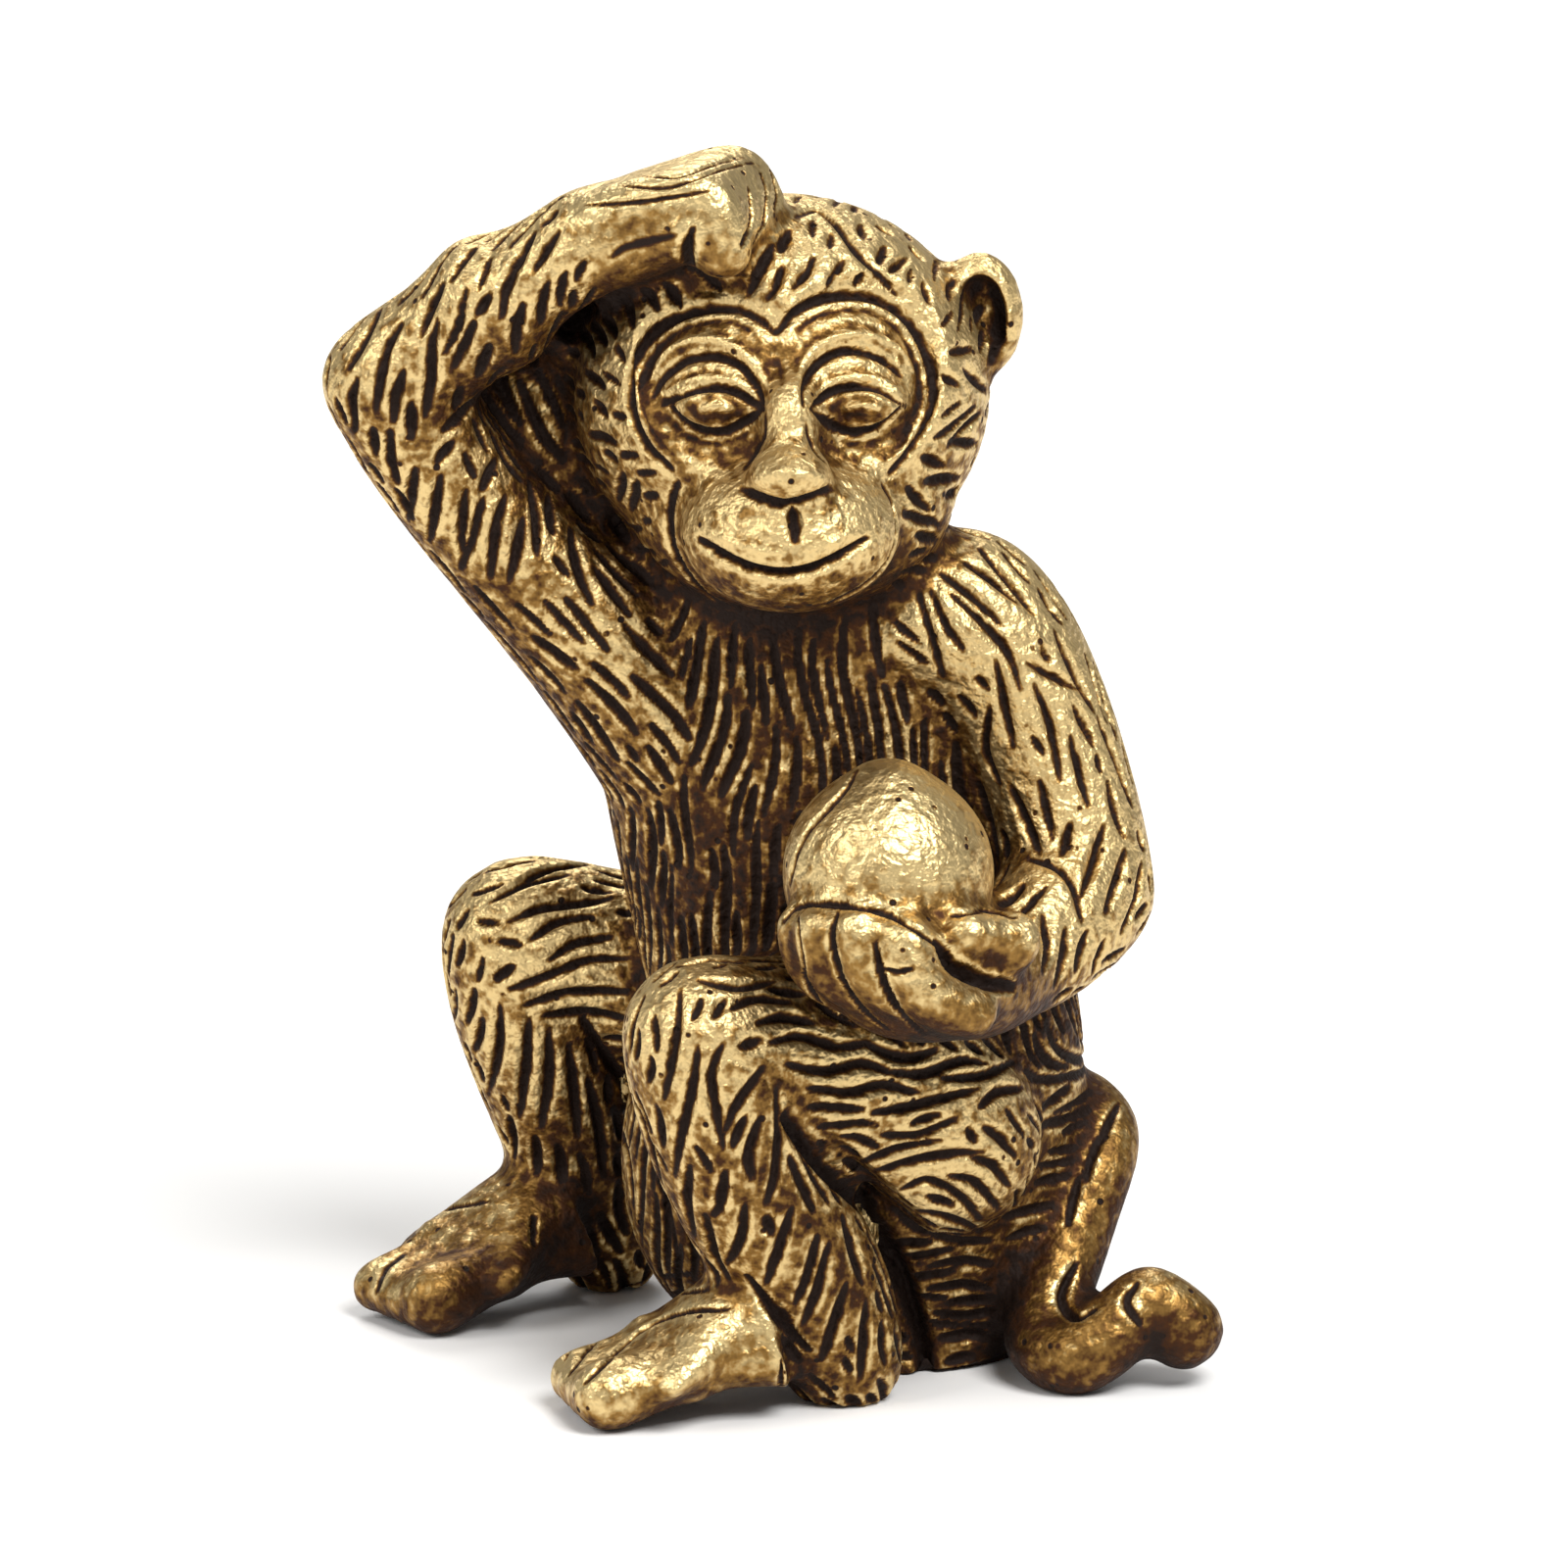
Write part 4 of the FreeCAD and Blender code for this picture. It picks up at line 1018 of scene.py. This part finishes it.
class GrownFur:
    """The rest of the fur, grown over each section along the way it lies."""

    SEED = 1016
    SEEDS_FOR_EACH_MM2 = 9.0
    STEP_MM = 0.15
    CELL_MM = 0.35
    # a stroke stops at this share of the spacing from another, and is dropped below a share of its length
    CROWDED_SHARE = 0.62
    SHORTEST_SHARE = 0.4
    LEAN = 5
    WEIGHTS = (0.75, 1.15)
    END_WIDTH = 0.5
    TAPER = 0.6
    # the strokes of the torso run level round the seat: below this rise, past this side, over this band
    SEAT_RISE, SEAT_SIDE, SEAT_BAND = 11.0, 0.5, 2.0
    MOST_BARE_FACING = 0.15
    # who owns a place: the drawn strokes, or a stroke that isn't grown yet
    DRAWN, UNBORN = -2, -1
    FUR = {
        "torso": Fur((), 0.46, (3.0, 7.5), 0.25, 0.27, 15.0, fan=(0.6, -1.0, 36.0)),
        "head": Fur((), 0.62, (0.9, 2.6), 0.23, 0.22, 20.0, fan=(0.6, -7.5, 30.5)),
        "left_upper_arm": Fur(((4.5, 1.5, 25.0), (6.3, 1.0, 23.9), (8.7, 0.1, 19.9), (9.7, -1.2, 16.1))),
        "left_forearm": Fur(((9.7, -1.2, 16.1), (7.5, -5.2, 14.6)), 0.6, (1.2, 2.6)),
        "right_upper_arm": Fur(
            ((-12.2, -0.4, 32.5), (-9.7, 0.5, 28.5), (-5.9, 1.5, 24.5), (-2.6, 2.2, 20.4)), 0.58
        ),
        "right_forearm": Fur(((-5.8, -2.3, 37.6), (-8.7, -1.3, 35.4), (-12.2, -0.4, 32.5)), 0.62, slant=38.0),
        "left_thigh": Fur(((-2.1, -5.1, 12.2), (1.7, -3.2, 11.2), (5.3, -1.2, 8.0)), 0.55, sway=24.0),
        "right_thigh": Fur(((-7.8, 7.2, 12.0), (-3.6, 7.0, 11.2), (1.4, 6.2, 8.6)), 0.55, sway=20.0),
        "left_shin": Fur(
            ((-2.1, -5.1, 12.2), (-0.7, -4.8, 7.6), (1.4, -3.9, 3.4), (2.2, -3.4, 1.3)), 0.58, slant=8.0
        ),
        "right_shin": Fur(((-7.8, 7.2, 12.0), (-6.7, 8.2, 6.6), (-5.7, 9.2, 2.9), (-5.3, 9.6, 1.3)), 0.55),
    }

    def __init__(self, skin: CastSkin, face: FaceCarving) -> None:
        """Note what the fur grows on.

        Args:
            skin: what the strokes are cut into.
            face: the bare face, which the fur keeps clear of.
        """
        self.skin = skin
        self.face = face
        self.draw = random.Random(self.SEED)
        self.cells: dict[tuple[int, int, int], list[tuple[Vector, int]]] = {}

    def note(self, place: Vector, stroke: int) -> None:
        """Remember a place that a stroke runs through."""
        self.cells.setdefault(self.cell(place), []).append((place, stroke))

    def cell(self, place: Vector) -> tuple[int, int, int]:
        """The cell of space that a place is in."""
        return tuple(math.floor(value / (self.CELL_MM * MM)) for value in place)

    def crowded(self, place: Vector, gap: float, stroke: int) -> bool:
        """Look for another stroke near a place.

        Args:
            place: the place, in metres.
            gap: how near counts, in metres.
            stroke: the stroke that doesn't count.

        Returns:
            Whether another one is within the gap.
        """
        reach = math.ceil(gap / (self.CELL_MM * MM))
        x, y, z = self.cell(place)
        for i in range(x - reach, x + reach + 1):
            for j in range(y - reach, y + reach + 1):
                for k in range(z - reach, z + reach + 1):
                    for other, owner in self.cells.get((i, j, k), ()):
                        if owner != stroke and (other - place).length < gap:
                            return True
        return False

    def way(self, name: str, fur: Fur, place: Vector, normal: Vector) -> Vector:
        """The way the fur lies at a place.

        Args:
            name: the section.
            fur: how its fur lies.
            place: the place, in metres.
            normal: the surface normal there.

        Returns:
            A unit vector along the surface.
        """
        spot = place / MM
        if fur.line:
            knots = [Vector(knot) for knot in fur.line]
            start, end = min(
                zip(knots, knots[1:]), key=lambda pair: ((pair[0] + pair[1]) / 2 - spot).length
            )
            way = end - start
        else:
            way = spot - Vector(fur.fan)
        if name == "torso" and spot.z < self.SEAT_RISE and spot.x > self.SEAT_SIDE:
            share = min(1.0, (self.SEAT_RISE - spot.z) / self.SEAT_BAND)
            way = way.normalized().lerp(Vector((0, 0, 1)).cross(normal), share)
        # two crossed waves turn neighbours alike, so that the fur lies in soft locks
        wander = math.sin(spot.x * 0.9 + spot.z * 0.6) + math.sin(spot.y * 1.1 - spot.z * 1.3 + 2.0)
        turn = math.radians(fur.slant + fur.sway * wander / 2)
        way = way - normal * way.dot(normal)
        if way.length < TINY:
            return Vector((0, 0, 0))
        return Matrix.Rotation(turn, 3, normal) @ way.normalized()

    def bare(self, place: Vector, normal: Vector) -> bool:
        """Whether a place is on the bare face."""
        return normal.dot(PHOTO.ahead()) < self.MOST_BARE_FACING and self.face.holds(PHOTO.pixel(place))

    def walk(self, name: str, fur: Fur, start: Vector, stroke: int) -> list[tuple[Vector, Vector]]:
        """Follow the fur from a place, as far as a stroke reaches or another one is met.

        Args:
            name: the section.
            fur: how its fur lies.
            start: where the stroke begins.
            stroke: the number of the stroke.

        Returns:
            The places and normals along the stroke.
        """
        label = self.skin.names.index(name)
        length = self.draw.uniform(*fur.length) * MM
        lean = math.radians(self.draw.uniform(-self.LEAN, self.LEAN))
        place, steps = start, []
        for _ in range(int(length / (self.STEP_MM * MM))):
            place, normal, _, _ = self.skin.surface.find_nearest(place)
            if self.skin.owner(place) != label or self.bare(place, normal):
                break
            if self.crowded(place, fur.spacing * self.CROWDED_SHARE * MM, stroke):
                break
            steps.append((place, normal))
            way = Matrix.Rotation(lean, 3, normal) @ self.way(name, fur, place, normal)
            place = place + way * (self.STEP_MM * MM)
        return steps

    def grow(self, name: str) -> int:
        """Grow the fur of one section.

        Args:
            name: the section.

        Returns:
            How many strokes were cut.
        """
        fur = self.FUR[name]
        label = self.skin.names.index(name)
        members = np.flatnonzero(self.skin.labels == label)
        area = len(members) * (self.skin.VOXEL_MM / 2) ** 2
        count = 0
        for _ in range(int(area * self.SEEDS_FOR_EACH_MM2)):
            start = Vector(self.skin.points[members[self.draw.randrange(len(members))]])
            if self.crowded(start, fur.spacing * MM, self.UNBORN):
                continue
            stroke = len(self.cells) + count
            steps = self.walk(name, fur, start, stroke)
            if len(steps) * self.STEP_MM < fur.length[0] * self.SHORTEST_SHARE:
                continue
            weight = self.draw.uniform(*self.WEIGHTS)
            samples = []
            for index, (place, normal) in enumerate(steps):
                self.note(place, stroke)
                strength = math.sin(math.pi * (index + 0.5) / len(steps)) ** self.TAPER
                width = self.END_WIDTH + (1 - self.END_WIDTH) * strength
                samples.append(
                    (place, normal, fur.half_width * MM * weight * width, fur.depth * MM * weight * strength)
                )
            self.skin.press(samples, Section.CHISEL, 1.0)
            count += 1
        return count

    def carve(self, drawn: list[Vector]) -> None:
        """Grow all the fur, clear of the strokes that are drawn.

        Args:
            drawn: the places that the drawn strokes run through.
        """
        for place in drawn:
            self.note(place, self.DRAWN)
        for name in self.FUR:
            LOG.info("fur of %s: %d strokes", name, self.grow(name))


def linear(code: str) -> tuple[float, float, float, float]:
    """The linear colour of a hex code such as #a8843f, by the numbers of the sRGB standard."""
    parts = [int(code[index:index + 2], 16) / 255 for index in (1, 3, 5)]
    return (*[part / 12.92 if part <= 0.04045 else ((part + 0.055) / 1.055) ** 2.4 for part in parts], 1.0)


def add_node(
    tree: bpy.types.NodeTree, kind: str, settings: dict | None = None, **links: object
) -> bpy.types.Node:
    """Add one node.

    Args:
        tree: the material's node tree.
        kind: the node's type name, without ShaderNode before it.
        settings: properties of the node by name.
        links: values, or sockets to link, by input name with underscores for spaces, or by i and number.

    Returns:
        The node.
    """
    node = tree.nodes.new(f"ShaderNode{kind}")
    for name, value in (settings or {}).items():
        setattr(node, name, value)
    for name, value in links.items():
        key = int(name[1:]) if name[0] == "i" and name[1:].isdigit() else name.replace("_", " ")
        if isinstance(value, bpy.types.NodeSocket):
            tree.links.new(value, node.inputs[key])
        else:
            node.inputs[key].default_value = value
    return node


@dataclass(frozen=True)
class CastBrass:
    """Lost-wax cast brass, dipped in a dark brown patina and rubbed back on the high spots.

    The dip stays in the tool marks and hollows, so the eye reads every stroke as a dark line; the
    rubbed metal between them is yellow and has the fine sandy grain of the mould.

    The four colours stand at rising amounts of patina and painted shade, from bare metal to the deepest dip.
    Each share says how much one cause brings: grooves, pockets and hollows bring patina, the painted shade
    darkens covered and downward-facing skin, and each section brings its tone with painted light and shade.
    The sizes in millimetres are sizes on the figure.
    """

    name: str
    rubbed: str = "#e0c48a"
    body: str = "#94703b"
    shade: str = "#4a2d19"
    dip: str = "#20120a"
    body_at: float = 0.3
    shade_at: float = 0.6
    dip_at: float = 0.95
    dulling: tuple[float, float] = (0.1, 0.9)
    coat_from: float = 0.45
    dip_metallic: float = 0.25
    dip_sheen: float = 0.25
    groove_share: float = 0.62
    pocket_share: float = 0.4
    hollow_share: float = 0.4
    # painted shade of covered and downward-facing skin
    painted_shade_share: float = 0.85
    grain_share: float = 1.5
    blotch_share: float = 1.1
    offset: float = -0.05
    grain_mm: float = 0.19
    grain_rise_mm: float = 0.19
    dent_mm: float = 1.1
    dent_rise_mm: float = 0.11
    blotch_mm: float = 2.4
    pinhole_gap_mm: float = 0.75
    pinhole_mm: float = 0.1
    pinhole_rim: tuple[float, float] = (0.7, 1.3)
    pinhole_patch: tuple[float, float] = (0.5, 0.56)
    roughness: tuple[float, float] = (0.47, 0.72)

    def material(self) -> bpy.types.Material:
        """The finish as a Blender material."""
        result = bpy.data.materials.new(self.name)
        result.use_nodes = True
        tree = result.node_tree
        tree.nodes.clear()
        place = add_node(tree, "TexCoord").outputs["Object"]
        # cloudy patterns, with spots of a size in millimetres
        grain, dent, blotch = (
            add_node(tree, "TexNoise", Vector=place, Scale=1 / (2 * size * MM), Detail=detail).outputs["Fac"]
            for size, detail in ((self.grain_mm, 2.0), (self.dent_mm, 3.0), (self.blotch_mm, 4.0))
        )
        pinhole = self.pinholes(tree, place, dent)
        # what the skin keeps for each vertex: patina in grooves, pockets and hollows, painted shade where it
        # is covered or faces down, and each section's tone with painted light and shade
        groove, pocket, hollow, shelter, patina = (
            add_node(tree, "Attribute", {"attribute_name": name}).outputs["Fac"]
            for name in ("groove", "pocket", "hollow", "shelter", "patina")
        )
        # the clouds lighten as much as they darken, so half of their shares is taken off
        total = self.offset - (self.blotch_share + self.grain_share) / 2
        # grooves, pockets and hollows add patina, the cover term adds painted shade, and the section term
        # adds tone with painted light and shade
        for cause, share in (
            (groove, self.groove_share), (pocket, self.pocket_share), (hollow, self.hollow_share),
            (shelter, self.painted_shade_share), (patina, 1.0), (blotch, self.blotch_share),
            (grain, self.grain_share), (pinhole, 1.0),
        ):
            total = add_node(
                tree, "Math", {"operation": "MULTIPLY_ADD"}, i0=cause, i1=share, i2=total
            ).outputs[0]
        ramp = add_node(tree, "ValToRGB", Fac=total)
        first, last = ramp.color_ramp.elements
        first.position, first.color = 0.0, linear(self.rubbed)
        last.position, last.color = self.dip_at, linear(self.dip)
        for position, code in ((self.body_at, self.body), (self.shade_at, self.shade)):
            ramp.color_ramp.elements.new(position).color = linear(code)
        dull = add_node(tree, "MapRange", Value=total, From_Min=self.dulling[0], From_Max=self.dulling[1],
                        To_Min=self.roughness[0], To_Max=self.roughness[1])
        bare = add_node(tree, "MapRange", Value=total, From_Min=self.coat_from, From_Max=self.dip_at,
                        To_Min=1.0, To_Max=self.dip_metallic)
        dents = add_node(tree, "Bump", Height=dent, Distance=self.dent_rise_mm * MM)
        holes = add_node(tree, "Bump", {"invert": True}, Height=pinhole, Distance=self.pinhole_mm * MM / 2,
                         Normal=dents.outputs[0])
        relief = add_node(tree, "Bump", Height=grain, Distance=self.grain_rise_mm * MM,
                          Normal=holes.outputs[0])
        shader = add_node(tree, "BsdfPrincipled", Base_Color=ramp.outputs["Color"],
                          Metallic=bare.outputs[0], Roughness=dull.outputs[0],
                          Normal=relief.outputs[0], Specular_IOR_Level=self.dip_sheen)
        add_node(tree, "OutputMaterial", Surface=shader.outputs[0])
        return result

    def pinholes(
        self, tree: bpy.types.NodeTree, place: bpy.types.NodeSocket, where: bpy.types.NodeSocket
    ) -> bpy.types.NodeSocket:
        """Small pits that the casting left, thick in some places and missing in others.

        Args:
            tree: the material's node tree.
            place: where the surface is.
            where: a pattern that is high where pits are.

        Returns:
            1 in a pit and 0 beside it.
        """
        cells = add_node(tree, "TexVoronoi", Vector=place, Scale=1 / (self.pinhole_gap_mm * MM))
        rim = self.pinhole_mm / self.pinhole_gap_mm
        pit = add_node(tree, "MapRange", Value=cells.outputs["Distance"], From_Min=rim * self.pinhole_rim[0],
                       From_Max=rim * self.pinhole_rim[1], To_Min=1.0, To_Max=0.0)
        patch = add_node(tree, "MapRange", Value=where, From_Min=self.pinhole_patch[0],
                         From_Max=self.pinhole_patch[1], To_Min=0.0, To_Max=1.0)
        return add_node(
            tree, "Math", {"operation": "MULTIPLY"}, i0=pit.outputs[0], i1=patch.outputs[0]
        ).outputs[0]


CHASED_BRASS = CastBrass("chased_cast_brass")
BURNISHED_BRASS = CastBrass(
    "burnished_cast_brass", rubbed="#e3c88e", body="#9a763f", groove_share=0.6, blotch_share=0.9,
    grain_share=1.0, grain_rise_mm=0.14, roughness=(0.42, 0.68),
)


class Studio:
    """A pale sweep with large soft lamps at a plain level."""

    FLOOR_SIZE = 4.0
    FLOOR_COLOUR = "#fbfaf8"
    FLOOR_ROUGHNESS = 0.9
    FLOOR_SHEEN = 0.1
    WORLD_STRENGTH = 0.25
    AIM = Vector((0, 0, 0.02))
    # name, place in metres, side and power of each lamp
    LAMPS = (
        ("key", (0.18, -0.26, 0.44), 0.26, 2.7),
        ("fill", (-0.34, -0.2, 0.3), 0.24, 1.0),
        ("back", (-0.05, 0.34, 0.36), 0.24, 0.9),
    )

    def build(self) -> None:
        """Lay the floor, hang the lamps and light the air."""
        self.floor()
        for name, place, size, watts in self.LAMPS:
            self.lamp(name, Vector(place), size, watts)
        world = bpy.data.worlds.new("studio_air")
        world.use_nodes = True
        back = world.node_tree.nodes["Background"]
        back.inputs["Color"].default_value = (1, 1, 1, 1)
        back.inputs["Strength"].default_value = self.WORLD_STRENGTH
        bpy.context.scene.world = world
        bpy.context.scene.view_settings.view_transform = "Standard"

    def floor(self) -> None:
        """Lay a wide white card."""
        work = bmesh.new()
        bmesh.ops.create_grid(work, x_segments=1, y_segments=1, size=self.FLOOR_SIZE / 2)
        mesh = bpy.data.meshes.new("floor")
        work.to_mesh(mesh)
        work.free()
        floor = bpy.data.objects.new("floor", mesh)
        bpy.context.scene.collection.objects.link(floor)
        finish = bpy.data.materials.new("white_card")
        finish.use_nodes = True
        shader = finish.node_tree.nodes["Principled BSDF"]
        shader.inputs["Base Color"].default_value = linear(self.FLOOR_COLOUR)
        shader.inputs["Roughness"].default_value = self.FLOOR_ROUGHNESS
        shader.inputs["Specular IOR Level"].default_value = self.FLOOR_SHEEN
        mesh.materials.append(finish)

    def lamp(self, name: str, place: Vector, size: float, watts: float) -> None:
        """Hang one soft square lamp that faces the figure.

        Args:
            name: the lamp's name.
            place: where it hangs, in metres.
            size: the length of its side.
            watts: its power.
        """
        data = bpy.data.lights.new(name, "AREA")
        data.shape = "SQUARE"
        data.size = size
        data.energy = watts
        lamp = bpy.data.objects.new(name, data)
        turn = (place - self.AIM).to_track_quat("Z", "Y").to_matrix().to_4x4()
        lamp.matrix_world = Matrix.Translation(place) @ turn
        bpy.context.scene.collection.objects.link(lamp)


class Figurine:
    """The dressed figurine, whose bare skin and peach are burnished."""

    BARE = ("right_hand", "left_hand", "peach", "left_foot", "right_foot", "tail")

    def build(self) -> None:
        """Cast, chase, part and finish the figure."""
        skin = CastSkin(frame["nodes"])
        face = FaceCarving()
        face.carve(skin)
        HandAndFootCarving().carve(skin)
        drawn = DrawnFur().carve(skin)
        GrownFur(skin, face).carve(drawn)
        skin.settle()
        finishes = {Slot.CHASED: CHASED_BRASS.material(), Slot.BURNISHED: BURNISHED_BRASS.material()}
        for name, piece in skin.part():
            slot = Slot.BURNISHED if name in self.BARE else Slot.CHASED
            piece.data.materials.append(finishes[slot])
            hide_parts(name)
            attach(piece, "root")
            LOG.info("%s dressed", name)


def main() -> None:
    """Build the scene in order."""
    logging.basicConfig(level=logging.INFO, format="%(message)s")
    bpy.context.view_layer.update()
    PHOTO.build()
    Studio().build()
    Figurine().build()


if __name__ == "__main__":
    main()
